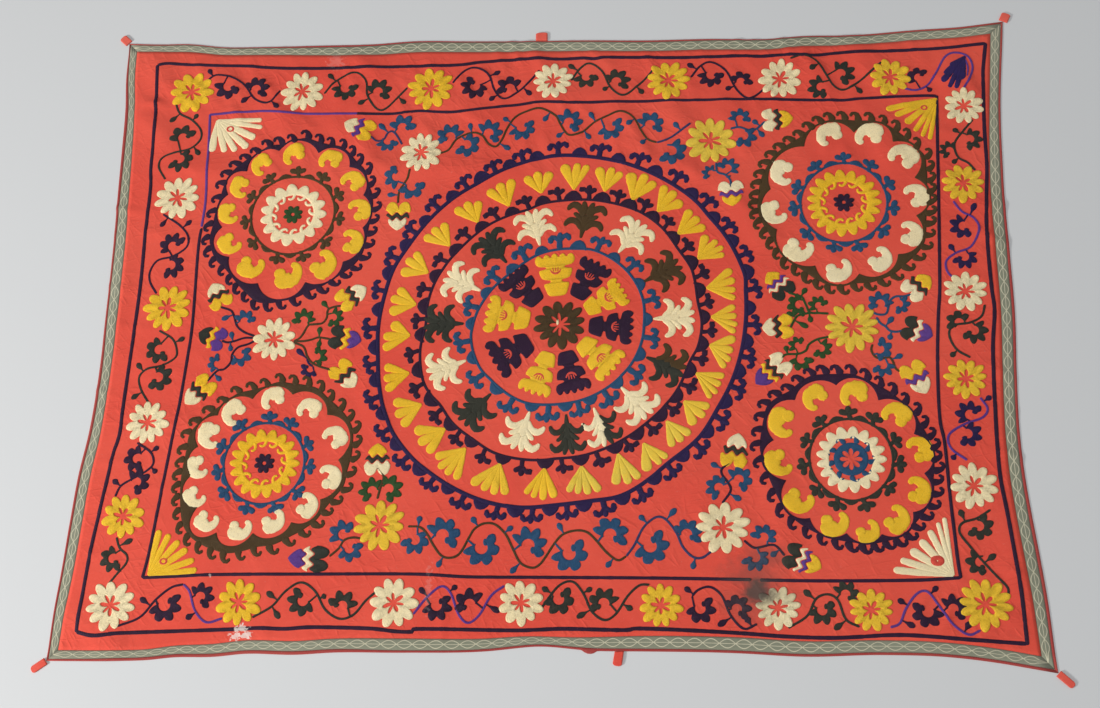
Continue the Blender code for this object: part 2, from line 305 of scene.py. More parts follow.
def sums(tree, operation, first, second=None, third=None):
    node = tree.nodes.new("ShaderNodeMath")
    node.operation = operation
    for socket, value in zip(node.inputs, (first, second, third)):
        if value is None:
            continue
        if isinstance(value, (int, float)):
            socket.default_value = value
        else:
            tree.links.new(value, socket)
    return node.outputs[0]


def smoothStep(tree, value, low, high, outLow=0.0, outHigh=1.0):
    node = tree.nodes.new("ShaderNodeMapRange")
    node.interpolation_type = "SMOOTHSTEP"
    tree.links.new(value, node.inputs["Value"])
    node.inputs["From Min"].default_value = low
    node.inputs["From Max"].default_value = high
    node.inputs["To Min"].default_value = outLow
    node.inputs["To Max"].default_value = outHigh
    return node.outputs["Result"]


def noiseOf(tree, vector, scale, detail=3.0, roughness=0.55):
    node = tree.nodes.new("ShaderNodeTexNoise")
    node.inputs["Scale"].default_value = scale
    node.inputs["Detail"].default_value = detail
    node.inputs["Roughness"].default_value = roughness
    tree.links.new(vector, node.inputs["Vector"])
    return node.outputs["Fac"]


# Chain stitch from the UV map, u along the row and v in from the edge, both in metres: each row
# is a line of links, a link two strands that part and meet, so its height is a rounded V pattern.
# A second output marks where that height is low, between links and rows: the thread material paints
# the colour darker there as painted shade, and makes it rougher
def buildChainStitch():
    tree, entry, leave = nodeGroup("chainStitch", {"Row": 0.0016, "Link": 0.0034}, ("Height", "ShadedGap"))
    uv = tree.nodes.new("ShaderNodeUVMap")
    uv.uv_map = "UVMap"
    split = tree.nodes.new("ShaderNodeSeparateXYZ")
    wander = tree.nodes.new("ShaderNodeTexNoise")
    wander.inputs["Scale"].default_value = 160
    tree.links.new(uv.outputs["UV"], split.inputs[0])
    tree.links.new(uv.outputs["UV"], wander.inputs["Vector"])
    drift = sums(tree, "MULTIPLY", sums(tree, "SUBTRACT", wander.outputs["Fac"], 0.5), 0.9)
    rows = sums(tree, "ADD", sums(tree, "DIVIDE", split.outputs["Y"], entry.outputs["Row"]), drift)
    inRow = sums(tree, "FRACT", rows)
    number = sums(tree, "FLOOR", rows)
    fromMiddle = sums(tree, "ABSOLUTE", sums(tree, "SUBTRACT", sums(tree, "MULTIPLY", inRow, 2), 1))
    along = sums(tree, "DIVIDE", split.outputs["X"], entry.outputs["Link"])
    shifted = sums(tree, "ADD", along, sums(tree, "MULTIPLY", number, 0.37))
    slanted = sums(tree, "ADD", shifted, sums(tree, "MULTIPLY", fromMiddle, 0.42))
    link = sums(tree, "ABSOLUTE", sums(tree, "SINE", sums(tree, "MULTIPLY", slanted, math.pi)))
    plump = sums(tree, "SQRT", sums(tree, "SUBTRACT", 1.0, sums(tree, "POWER", fromMiddle, 2.4)))
    height = sums(tree, "MULTIPLY", plump, sums(tree, "MULTIPLY_ADD", sums(tree, "POWER", link, 0.6), 0.6, 0.4))
    tree.links.new(height, leave.inputs["Height"])
    tree.links.new(smoothStep(tree, height, 0.62, 0.12), leave.inputs["ShadedGap"])
    return tree


# Plain weave on Object coordinates: threads one way over threads the other way, turn about
def buildPlainWeave():
    tree, entry, leave = nodeGroup("plainWeave", {"Pitch": 0.0006}, ("Height", "Slub"))
    where = tree.nodes.new("ShaderNodeTexCoord")
    split = tree.nodes.new("ShaderNodeSeparateXYZ")
    tree.links.new(where.outputs["Object"], split.inputs[0])
    x = sums(tree, "DIVIDE", split.outputs["X"], entry.outputs["Pitch"])
    y = sums(tree, "DIVIDE", split.outputs["Y"], entry.outputs["Pitch"])
    waveX = sums(tree, "SINE", sums(tree, "MULTIPLY", x, math.pi))
    waveY = sums(tree, "SINE", sums(tree, "MULTIPLY", y, math.pi))
    over = sums(tree, "MULTIPLY_ADD", sums(tree, "MULTIPLY", waveX, waveY), 0.5, 0.5)
    mapping = tree.nodes.new("ShaderNodeMapping")
    mapping.inputs["Scale"].default_value = (1, 9, 1)
    tree.links.new(where.outputs["Object"], mapping.inputs["Vector"])
    tree.links.new(over, leave.inputs["Height"])
    tree.links.new(noiseOf(tree, mapping.outputs[0], 90, 4), leave.inputs["Slub"])
    return tree


# Age on Object coordinates: broad fading, fine dust, and listed stains as blurred discs
def buildAge():
    tree, entry, leave = nodeGroup("age", {"Dust": 1.0}, ("Fade", "Speck", "Soot", "Chalk"))
    where = tree.nodes.new("ShaderNodeTexCoord")
    split = tree.nodes.new("ShaderNodeSeparateXYZ")
    tree.links.new(where.outputs["Object"], split.inputs[0])
    x = sums(tree, "SUBTRACT", split.outputs["X"], patternX)
    y = sums(tree, "SUBTRACT", split.outputs["Y"], patternY)
    broad = noiseOf(tree, where.outputs["Object"], 3.2, 3)
    fine = noiseOf(tree, where.outputs["Object"], 420, 4, 0.7)
    ragged = noiseOf(tree, where.outputs["Object"], 38, 5, 0.65)
    crumbs = noiseOf(tree, where.outputs["Object"], 210, 4, 0.6)
    tree.links.new(smoothStep(tree, broad, 0.35, 0.68), leave.inputs["Fade"])
    speck = sums(tree, "MULTIPLY", smoothStep(tree, fine, 0.58, 0.78), entry.outputs["Dust"])
    tree.links.new(speck, leave.inputs["Speck"])
    # stains: x, y, radius along x, radius along y, strength, in metres
    marks = {
        "Soot": (
            (0.308, -0.392, 0.034, 0.026, 0.95), (0.300, -0.368, 0.050, 0.036, 0.45),
            (0.318, -0.345, 0.040, 0.026, 0.42), (0.292, -0.405, 0.050, 0.040, 0.35),
            (0.342, -0.395, 0.034, 0.022, 0.22),
        ),
        "Chalk": (
            (-0.424, -0.455, 0.010, 0.008, 0.8), (-0.432, -0.466, 0.009, 0.006, 0.7),
            (-0.416, -0.462, 0.007, 0.006, 0.75), (-0.477, -0.380, 0.0022, 0.003, 0.4),
            (-0.360, 0.461, 0.014, 0.014, 0.11), (-0.157, -0.395, 0.005, 0.036, 0.09),
        ),
    }
    for label, rows in marks.items():
        total = None
        for markX, markY, radiusX, radiusY, strength in rows:
            dx = sums(tree, "DIVIDE", sums(tree, "SUBTRACT", x, markX), radiusX)
            dy = sums(tree, "DIVIDE", sums(tree, "SUBTRACT", y, markY), radiusY)
            far = sums(tree, "SQRT", sums(tree, "ADD", sums(tree, "MULTIPLY", dx, dx), sums(tree, "MULTIPLY", dy, dy)))
            uneven = sums(tree, "MULTIPLY_ADD", *((ragged, 1.5, -0.75) if label == "Soot" else (crumbs, 4.4, -2.2)))
            edge = (1.15, 0.25) if label == "Soot" else (0.95, 0.65)
            spot = smoothStep(tree, sums(tree, "ADD", far, uneven), *edge, 0, strength)
            total = spot if total is None else sums(tree, "MAXIMUM", total, spot)
        tree.links.new(total, leave.inputs[label])
    return tree


chainStitch = buildChainStitch()
plainWeave = buildPlainWeave()
ageGroup = buildAge()


def mixColour(tree, factor, first, second, blend="MIX"):
    node = tree.nodes.new("ShaderNodeMix")
    node.data_type = "RGBA"
    node.blend_type = blend
    for socket, value in ((node.inputs[0], factor), (node.inputs[6], first), (node.inputs[7], second)):
        if isinstance(value, bpy.types.NodeSocket):
            tree.links.new(value, socket)
        elif isinstance(value, tuple):
            socket.default_value = (*value, 1)
        else:
            socket.default_value = value
    return node.outputs[2]


def startMaterial(name, roughness, sheen, sheenTint):
    material = bpy.data.materials.new(name)
    material.use_nodes = True
    tree = material.node_tree
    shader = tree.nodes["Principled BSDF"]
    shader.inputs["Roughness"].default_value = roughness
    shader.inputs["Sheen Weight"].default_value = sheen
    shader.inputs["Sheen Roughness"].default_value = 0.5
    shader.inputs["Sheen Tint"].default_value = (*sheenTint, 1)
    shader.inputs["Specular IOR Level"].default_value = 0.25
    return material, tree, shader


def bump(tree, shader, height, strength, distance):
    node = tree.nodes.new("ShaderNodeBump")
    node.inputs["Strength"].default_value = strength
    node.inputs["Distance"].default_value = distance
    tree.links.new(height, node.inputs["Height"])
    tree.links.new(node.outputs["Normal"], shader.inputs["Normal"])


# Age laid over any colour: paler where faded, then specks, soot and chalky residue
def aged(tree, colour, faded, dust=0.5):
    age = tree.nodes.new("ShaderNodeGroup")
    age.node_tree = ageGroup
    age.inputs["Dust"].default_value = dust
    colour = mixColour(tree, sums(tree, "MULTIPLY", age.outputs["Fade"], 0.55), colour, faded)
    colour = mixColour(tree, sums(tree, "MULTIPLY", age.outputs["Speck"], 0.35), colour, (0.62, 0.52, 0.45))
    colour = mixColour(tree, age.outputs["Soot"], colour, (0.085, 0.062, 0.05))
    return mixColour(tree, age.outputs["Chalk"], colour, (0.80, 0.70, 0.62))


cottonLook = dict(red=(0.72, 0.070, 0.042), faded=(0.78, 0.105, 0.062), shadow=(0.46, 0.030, 0.020), creased=1.0)


# Fine creases on Object coordinates: thin ridges where a stretched noise passes its middle value,
# long along one heading, and deeper in some places than in others
def buildCreases():
    tree, entry, leave = nodeGroup("creases", {"Depth": 1.0}, ("Height",))
    where = tree.nodes.new("ShaderNodeTexCoord")
    total = None
    for heading, along, across in ((-50, 13, 44), (12, 11, 52)):
        mapping = tree.nodes.new("ShaderNodeMapping")
        mapping.vector_type = "TEXTURE"
        mapping.inputs["Rotation"].default_value = (0, 0, math.radians(heading))
        mapping.inputs["Scale"].default_value = (1 / along, 1 / across, 1)
        tree.links.new(where.outputs["Object"], mapping.inputs["Vector"])
        wave = noiseOf(tree, mapping.outputs[0], 1.0, 2, 0.45)
        aside = sums(tree, "ABSOLUTE", sums(tree, "MULTIPLY_ADD", wave, 2, -1))
        ridge = sums(tree, "POWER", sums(tree, "SUBTRACT", 1.0, aside), 6.5)
        total = ridge if total is None else sums(tree, "MAXIMUM", total, ridge)
    patchy = smoothStep(tree, noiseOf(tree, where.outputs["Object"], 9, 2), 0.36, 0.62, 0.15, 1)
    height = sums(tree, "MULTIPLY", sums(tree, "MULTIPLY", total, patchy), entry.outputs["Depth"])
    tree.links.new(height, leave.inputs["Height"])
    return tree


creaseGroup = buildCreases()


def cottonMaterial(name, red, faded, shadow, pitch=0.0006, dust=0.5, creased=0.3):
    material, tree, shader = startMaterial(name, 0.88, 0.12, (1.0, 0.55, 0.45))
    weave = tree.nodes.new("ShaderNodeGroup")
    weave.node_tree = plainWeave
    weave.inputs["Pitch"].default_value = pitch
    gap = smoothStep(tree, weave.outputs["Height"], 0.35, 0.0, 0, 0.5)
    colour = mixColour(tree, gap, red, shadow)
    slub = smoothStep(tree, weave.outputs["Slub"], 0.45, 0.8, 0, 0.35)
    colour = mixColour(tree, slub, colour, faded)
    colour = aged(tree, colour, faded, dust)
    tree.links.new(colour, shader.inputs["Base Color"])
    where = tree.nodes.new("ShaderNodeTexCoord")
    crumple = noiseOf(tree, where.outputs["Object"], 34, 4, 0.5)
    fine = sums(tree, "MULTIPLY_ADD", weave.outputs["Height"], 0.16, sums(tree, "MULTIPLY", crumple, 1.2))
    thinFolds = tree.nodes.new("ShaderNodeGroup")
    thinFolds.node_tree = creaseGroup
    thinFolds.inputs["Depth"].default_value = creased
    bump(tree, shader, sums(tree, "ADD", fine, thinFolds.outputs["Height"]), 0.7, 0.0012)
    rough = smoothStep(tree, weave.outputs["Slub"], 0.3, 0.8, 0.82, 0.95)
    tree.links.new(rough, shader.inputs["Roughness"])
    return material


# Panel: a patch between the four sewn lines, each pair blended, less the corners counted twice
panelSize = dict(thick=0.0015, along=262, across=182)


def panelPatch(u, v):
    bottom, top = seam("bottom", u), seam("top", u)
    left, right = seam("left", v), seam("right", v)
    uu, vv = u[:, None, None], v[None, :, None]
    patch = (1 - vv) * bottom[:, None] + vv * top[:, None] + (1 - uu) * left[None] + uu * right[None]
    patch = patch - (1 - vv) * ((1 - uu) * bottom[0] + uu * bottom[-1])
    return patch - vv * ((1 - uu) * top[0] + uu * top[-1])


patch = panelPatch(np.linspace(0, 1, panelSize["along"] + 1), np.linspace(0, 1, panelSize["across"] + 1))
patchX, patchY = patch[..., 0], patch[..., 1]
under = lift(patchX, patchY)
panel = closedSheet(
    "redPanel",
    framed(patchX, patchY, under),
    framed(patchX, patchY, under + panelSize["thick"]),
)
panel.data.materials.append(cottonMaterial("redCotton", **cottonLook))
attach(panel, "root")
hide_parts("panel")
print("panel laid")


# Height of the cloth's face
def clothTop(x, y):
    return lift(x, y) + panelSize["thick"]


# Embroidery. Places below are in millimetres from the pattern's centre, angles in degrees.
stitched = {}
stitch = dict(height=0.82, rim=-0.2, shoulder=1.0, shoulderLift=0.84, sunk=0.9, stem=4.0)
wobbler = np.random.default_rng(5)


# A padded band between two edge lines. Across it the height rises from the rim to a shoulder and
# stays level over the middle. A closed band joins its end to its start, an open one is pinched.
# Under a wide one, a line along its middle is sunk in the cloth, so that it follows the folds.
def band(thread, left, right, along, closed="", shade=0.0, level=0.0):
    half = np.linalg.norm(right - left, axis=1) / 2
    widest = half.max()
    crowns = 1 if widest < 5 else 3 if widest < 9 else 5 if widest < 15 else 7
    edge = np.minimum(stitch["shoulder"] / np.maximum(half, 1e-6), 0.42)
    inner = np.linspace(-1, 1, crowns + 2)[None, :] * (1 - edge)[:, None]
    ones = np.ones((len(half), 1))
    share = np.concatenate((-ones, inner, ones), axis=1)
    full = np.minimum(half / 1.1, 1)[:, None]
    rise = np.tile((stitch["height"] * wobbler.uniform(0.93, 1.07) - stitch["rim"]) * full, (1, crowns + 4))
    rise[:, [1, -2]] *= stitch["shoulderLift"]
    rise[:, [0, -1]] = 0
    if widest >= 5:
        share = np.concatenate((share, 0 * ones), axis=1)
        rise = np.concatenate((rise, -stitch["sunk"] * full), axis=1)
    middle, reach = (left + right) / 2, (right - left) / 2
    points = middle[:, None] + reach[:, None] * share[..., None]
    inwards = half[:, None] * (1 - abs(share))
    uv = np.stack((np.repeat(along[:, None], share.shape[1], 1), inwards), -1)
    stitched.setdefault(thread, []).append((points, rise + stitch["rim"] + level, uv, closed, shade))


def lengthAlong(points):
    return np.concatenate(([0], np.cumsum(np.linalg.norm(np.diff(points, axis=0), axis=1))))


# A curve through control rows of x, y and width, by cubic pieces whose slopes join neighbours
def throughRows(rows, perPiece=14):
    rows = np.array(rows, float)
    ends = np.concatenate((2 * rows[:1] - rows[1:2], rows, 2 * rows[-1:] - rows[-2:-1]))
    t = np.linspace(0, 1, perPiece, endpoint=False)[None, :, None]
    p0, p1, p2, p3 = (ends[i:len(ends) - 3 + i][:, None] for i in range(4))
    body = p1 + 0.5 * t * (p2 - p0 + t * (2 * p0 - 5 * p1 + 4 * p2 - p3 + t * (3 * (p1 - p2) + p3 - p0)))
    return np.concatenate((body.reshape(-1, rows.shape[1]), rows[-1:]))


# A stitched stroke along a curve: its edges stand half a width to each side, its ends are round
def stroke(thread, rows, shade=0.0, step=None, level=0.0):
    line = throughRows(rows)
    run = lengthAlong(line[:, :2])
    length = run[-1]
    startRound, endRound = (min(max(line[i, 2] / 2, 0.05), length * 0.45) for i in (0, -1))
    step = step or min(max(line[:, 2].max() * 0.55, 1.6), 4.0)
    count = max(4, int((length - startRound - endRound) / step) + 2)
    cap = 1 - np.cos(np.array([0, 0.35, 0.7]) * math.pi / 2)
    s = np.concatenate((
        startRound * cap,
        np.linspace(startRound, length - endRound, count),
        length - endRound * cap[::-1],
    ))
    x, y, width = (np.interp(s, run, line[:, i]) for i in range(3))
    half = np.maximum(width, 0.1) / 2 * (1 + wobbler.normal(0, 0.035, len(s)))
    half *= np.sqrt(np.clip(1 - (1 - s / startRound) ** 2, 0, 1)) ** (s < startRound)
    half *= np.sqrt(np.clip(1 - (1 - (length - s) / endRound) ** 2, 0, 1)) ** (s > length - endRound)
    points = np.stack((x, y), 1)
    way = np.gradient(points, axis=0)
    way /= np.maximum(np.linalg.norm(way, axis=1), 1e-9)[:, None]
    square = np.stack((-way[:, 1], way[:, 0]), 1) * half[:, None]
    band(thread, points + square, points - square, s, shade=shade, level=level)


def evenAngles(count):
    return np.linspace(0, 2 * math.pi, count, endpoint=False)


# A stitched ring: inner and outer radius are arrays over the same even angles
def ring(thread, centre, inner, outer, shade=0.0, level=0.0):
    angle = evenAngles(len(inner))
    way = np.stack((np.cos(angle), np.sin(angle)), 1)
    along = angle * (inner + outer).mean() / 2
    left, right = (np.array(centre) + way * radius[:, None] for radius in (inner, outer))
    band(thread, left, right, along, closed="ring", shade=shade, level=level)


# Radius at these angles on a closed curve through rows of angle and radius
def radiusAround(table, angle):
    rows = np.array(sorted((a % 360, r) for a, r in table), float)
    rows = np.concatenate((rows - (360, 0), rows, rows + (360, 0)))
    line = throughRows(rows, 8)
    return np.interp(np.asarray(angle) % 360, line[:, 0], line[:, 1])


# Control rows given as (sideways, forward, width) turned so that forward points along angle
def turned(rows, centre, angle, size=1.0, flip=1):
    a = math.radians(angle)
    c, s = math.cos(a), math.sin(a)
    return [
        (
            centre[0] + size * (forward * c - sideways * flip * s),
            centre[1] + size * (forward * s + sideways * flip * c),
            width * size,
        )
        for sideways, forward, width in rows
    ]


def polar(centre, angle, radius):
    a = math.radians(angle)
    return centre[0] + radius * math.cos(a), centre[1] + radius * math.sin(a)


# A daisy: outer edge of rounded petals, inner edge a star of short rays where the cloth shows
def rosette(thread, x, y, radius, petals=11, rays=7, turn=0.0, shade=0.0, eye=(4.2, 0.43)):
    angle = evenAngles(petals * 18)
    lumpy = 1 + 0.035 * np.sin(3 * angle + x) + 0.03 * np.sin(5 * angle + y)
    bent = angle - math.radians(turn) + 0.05 * np.sin(2 * angle + x)
    petal = abs(np.cos(petals / 2 * bent)) ** 0.72
    outer = radius * lumpy * (0.665 + 0.355 * petal)
    ray = abs(np.cos(rays / 2 * (angle + x + 0.08 * np.sin(3 * angle)))) ** 1.6
    inner = eye[0] + (eye[1] * radius - eye[0]) * ray * (1 + 0.14 * np.sin(2 * angle + y))
    ring(thread, (x, y), inner, outer, shade, level=0.25)


# A curled spray: a fat crescent round an eye. Its inner side is an arc that tightens, its outer
# side swells into a body with round lobes, and its end turns in to a knob.
def spray(thread, x, y, start, turn, sweep=235, size=1.0, stem=None, shade=0.0):
    lobes = max(3, round(sweep / 52))
    t = np.linspace(0, 1, lobes * 10 + 6)
    angle = np.radians(start + turn * sweep * t)
    inner = size * (8.4 - 2.2 * t)
    grow = np.clip(t / 0.16, 0, 1) ** 1.4
    beat = math.pi * lobes * np.clip((t - 0.05) / 0.95, 0, 1)
    lobe = abs(np.sin(beat)) ** 0.75 * (1 + 0.12 * np.sin(2.3 * beat + x))
    outer = inner + size * (1.8 + 5.2 * grow + 8.6 * lobe * grow)
    outer[[0, -1]] = inner[[0, -1]] + 0.05
    way = np.stack((np.cos(angle), np.sin(angle)), 1)
    near, far = (np.array((x, y)) + way * radius[:, None] for radius in (inner, outer))
    sides = (near, far) if turn > 0 else (far, near)
    band(thread, *sides, lengthAlong((near + far) / 2), shade=shade)
    end = start + turn * sweep
    knob = [
        (*polar((x, y), end - turn * 26, 10 * size), 8 * size),
        (*polar((x, y), end + turn * 10, 6.4 * size), 9.6 * size),
    ]
    stroke(thread, knob, shade)
    first = (*polar((x, y), start + turn * 14, 9.8 * size), 3.4 * size)
    root = (*stem, 3.0) if stem is not None else (*polar((x, y), start - turn * 20, 12 * size), 2.6)
    stroke(thread, [root, first], shade)


# A leaf on a short stalk, from a root towards a tip
def leaf(thread, root, tip, width=9.8, shade=0.0):
    root, tip = np.array(root, float), np.array(tip, float)
    run = tip - root
    rows = [(*root, 2.2), (*(root + run * 0.32), 3.6), (*(root + run * 0.66), width), (*tip, width * 0.55)]
    stroke(thread, rows, shade)


# A vine through points, with its leaves and sprays rooted at the nearest place on it
def vine(stemThread, leafThread, points, sprays=(), leaves=(), width=stitch["stem"], stemShade=0.0, shade=0.0):
    line = throughRows(points, 20)
    away = np.linalg.norm(line[:, None] - flowerPlaces[None, :, :2], axis=2) - 0.86 * flowerPlaces[None, :, 2]
    line = line[away.min(1) > 0]
    rows = np.concatenate((line[:-1:5], line[-1:]))
    stroke(stemThread, np.insert(rows, 2, width, axis=1), stemShade, step=3.2)
    for x, y in leaves:
        root = line[np.argmin(((line - (x, y)) ** 2).sum(1))]
        run = np.array((x, y)) - root
        far = np.linalg.norm(run)
        if far < 3:
            run, far = np.array((0.0, 5.0)), 5.0
        tip = np.array((x, y)) + run / far * 6.8
        base = root if far < 17 else np.array((x, y)) - run / far * 8
        leaf(leafThread, base, tip, shade=shade)
    for x, y, start, turn, sweep, *size in sprays:
        size = size[0] if size else 1.0
        edge = np.array(polar((x, y), start, 9 * size))
        root = line[np.argmin(((line - edge) ** 2).sum(1))]
        near = 2 < np.linalg.norm(root - edge) < 20
        spray(leafThread, x, y, start, turn, sweep, size, stem=root if near else None, shade=shade)


# A crest like a breaking wave: a broad back, a head that leans over, and a curl under it
waveCrest = ((-7.6, -3, 13), (-5.2, 2, 11.6), (-3.4, 7, 9), (-0.6, 10.8, 7), (3.8, 11.4, 6), (6.4, 8.4, 6), (4.8, 5.4, 5))

# Half width of a bud along its length, as a share: full at the base, drawn to a point at the tip
def taper(t):
    return np.maximum(1 - np.clip(t, 0, 1) ** 3.2, 0.02) ** 0.7


# A bud: bands of thread across a shape that is two-lobed at its base and pointed at its tip
def bud(x, y, tipX, tipY, threads, wide=20.5):
    tip = np.array((tipX, tipY), float)
    run = tip - (x, y)
    run /= np.linalg.norm(run)
    base = np.array((x, y)) - run * 22
    length = np.linalg.norm(tip - base)
    side = np.array((-run[1], run[0]))
    across = np.linspace(-1, 1, 33)
    phase = wobbler.uniform(-0.2, 0.2)
    edges = [0.24 * (1 - abs(np.sin(math.pi * across)) ** 0.5)]
    bands = len(threads)
    for i in range(1, bands):
        level = 0.24 + 0.54 * i / bands
        zigzag = np.sin(2 * math.pi * 1.5 * (across + phase) / 1.15)
        edges.append(level + 0.064 * (1 - 0.3 * i / bands) * zigzag)
    edges.append(np.full_like(across, 1.0))
    for i, thread in enumerate(threads):
        low, high = edges[i] + (0.012 if i else 0), edges[i + 1]
        pinch = 1 - across ** 10
        mid = (low + high) / 2
        low, high = mid + (low - mid) * pinch, mid + (high - mid) * pinch
        left, right = (
            base + run * (length * t)[:, None] + side * (across * wide * taper(t))[:, None]
            for t in (low, high)
        )
        band(thread, left, right, across * wide)


# A fan: a finger of thread from its apex to each tip. Up to the split a finger is as wide as the gap
# to its neighbour, so that they make one wedge, and beyond it tipShare of that gap.
def fan(thread, apex, tips, shade=0.0, split=0.6, tipShare=0.76):
    apex, tips = np.array(apex, float), np.array(tips, float)
    gaps = np.linalg.norm(np.diff(tips, axis=0), axis=1)
    for i, run in enumerate(tips - apex):
        beside = gaps[max(i - 1, 0):i + 1]
        wide, narrow = beside.max(), beside.min() * tipShare
        widths = (3, split / 2 * wide + 1.8, split * wide + 0.6, max(narrow, 0.8 * split * wide), narrow)
        places = (0.01, split / 2, split, (split + 1) / 2 + 0.02, 1)
        stroke(thread, [(*(apex + run * t), w) for t, w in zip(places, widths)], shade, level=0.03 * (i % 2))


print("stitching the borders")
borderLines = dict(width=6.2, innerWidth=5.4)
outerLine = (
    ((-660, 463), (-640, 466), (-600, 462), (-560, 459.5), (-520, 458.5), (-480, 454.5), (-440, 451.5), (-400, 450),
     (-320, 449), (-240, 448.5), (-160, 449), (-120, 453), (-40, 455.5), (0, 454), (40, 455), (60, 453),
     (80, 455), (140, 453), (200, 451), (280, 451), (320, 449), (360, 450.5), (400, 448), (440, 451),
     (520, 452), (600, 455), (640, 459), (663, 461)),
    ((663, 462), (657, 420), (655.5, 400), (652.5, 320), (652, 250), (648.5, 200), (645.5, 140), (647, 60),
     (649, 20), (643, -40), (640.5, -140), (641, -220), (647.5, -280), (656, -360), (659.5, -400), (662, -459)),
    ((662, -457), (600, -453.5), (520, -448.5), (480, -448.5), (440, -451.5), (400, -453.5), (340, -452.5),
     (280, -449), (200, -446), (140, -445), (120, -447.5), (40, -447), (0, -449), (-40, -450.5), (-166, -450.5),
     (-175, -454.5), (-200, -454.5), (-240, -451), (-320, -450.5), (-360, -453.5), (-400, -453), (-440, -455.5),
     (-520, -459.5), (-600, -463.5), (-640, -468), (-667, -463)),
    ((-667, -464), (-666.5, -420), (-662.5, -340), (-656.5, -280), (-648.5, -200), (-644.5, -180), (-642, -160),
     (-642.5, -120), (-641, 0), (-641, 80), (-644, 160), (-645.5, 240), (-649.5, 280), (-652, 360),
     (-655.5, 400), (-660.5, 463)),
)
innerLine = (
    ((-320, 366), (-260, 364), (-220, 367.5), (-160, 364), (-100, 370.5), (-60, 374), (-20, 378), (40, 375),
     (240, 375), (320, 374), (360, 372), (440, 368.5), (480, 371), (560, 373), (585, 372)),
    ((585, 373), (582, 290), (579.5, 210), (575, 90), (573, 50), (569, 10), (564.5, -60), (563.5, -140),
     (568.5, -180), (572, -260), (577, -340), (580, -370)),
    ((580, -369), (520, -373), (400, -375.5), (308, -375.5)),
    ((297, -375), (160, -374.5), (0, -375.5), (-100, -376), (-180, -373), (-340, -375), (-460, -377),
     (-540, -381), (-579, -383)),
    ((-579, -384), (-573, -340), (-565, -240), (-560, -180), (-556, -140), (-551.5, -60), (-549.5, 10),
     (-554.5, 130), (-553.5, 170)),
)
violetLine = (
    ((-553.5, 172), (-552, 210), (-554, 250), (-559, 330), (-562, 371)),
    ((-563, 370), (-520, 373), (-480, 374), (-440, 370.5), (-400, 367.5), (-318, 366)),
)
for lines, thread, width in (
    (outerLine, "purple", borderLines["width"]),
    (innerLine, "purple", borderLines["innerWidth"]),
    (violetLine, "violet", borderLines["innerWidth"] * 0.85),
):
    for line in lines:
        stroke(thread, [(x, y, width) for x, y in line], step=4.5)

# Border flowers: thread, x, y, radius, petals, shade
borderFlowers = (
    ("gold", -596.5, 411, 36, 10, 0.0), ("ivory", -412, 407, 35, 11, 0), ("gold", -201.5, 407, 36.5, 11, 0.0),
    ("ivory", -6, 414.5, 31, 11, 0), ("gold", 176, 411, 33.5, 11, 0.1), ("ivory", 349, 408, 33, 11, 0.1),
    ("gold", 516.5, 406, 31, 10, 0.15), ("ivory", 624, 353, 29.5, 11, 0.2), ("gold", 616, 224, 31, 11, 0.2),
    ("ivory", 609.6, 51, 30.5, 11, 0.2), ("gold", 602.7, -83, 29.5, 11, 0.2), ("ivory", 605, -240, 32.5, 11, 0.1),
    ("gold", 610.4, -405, 35.5, 12, 0.2), ("gold", 458.5, -414.6, 29, 11, 0.2), ("ivory", 332.7, -413.8, 30, 11, 0.3),
    ("gold", 172, -412.7, 30, 11, 0.1), ("ivory", -23.8, -412, 32, 10, 0), ("ivory", -205.4, -414.6, 35, 10, 0),
    ("gold", -431, -417, 33, 10, 0.0), ("ivory", -621.5, -424, 36, 11, 0), ("gold", -619.6, -292.7, 32.5, 10, 0.1),
    ("ivory", -600.8, -148.5, 33, 11, 0), ("gold", -592, 36, 37, 11, 0.0), ("ivory", -598.5, 223, 36, 11, 0),
)
# Field flowers, likewise
fieldFlowers = (
    ("ivory", -210, 293.5, 33, 11, 0), ("gold", 241, 304, 38, 11, 0.75), ("ivory", -418, -16.5, 34, 11, 0),
    ("gold", 446, -3, 38, 13, 0.75), ("gold", -233.5, -303, 37, 11, 0.3), ("ivory", 258, -302, 37, 11, 0.1),
)
flowerPlaces = np.array([row[1:4] for row in borderFlowers + fieldFlowers])
for i, (thread, x, y, radius, petals, shade) in enumerate(borderFlowers):
    rosette(thread, x, y, radius, petals, turn=17 * i, shade=shade)

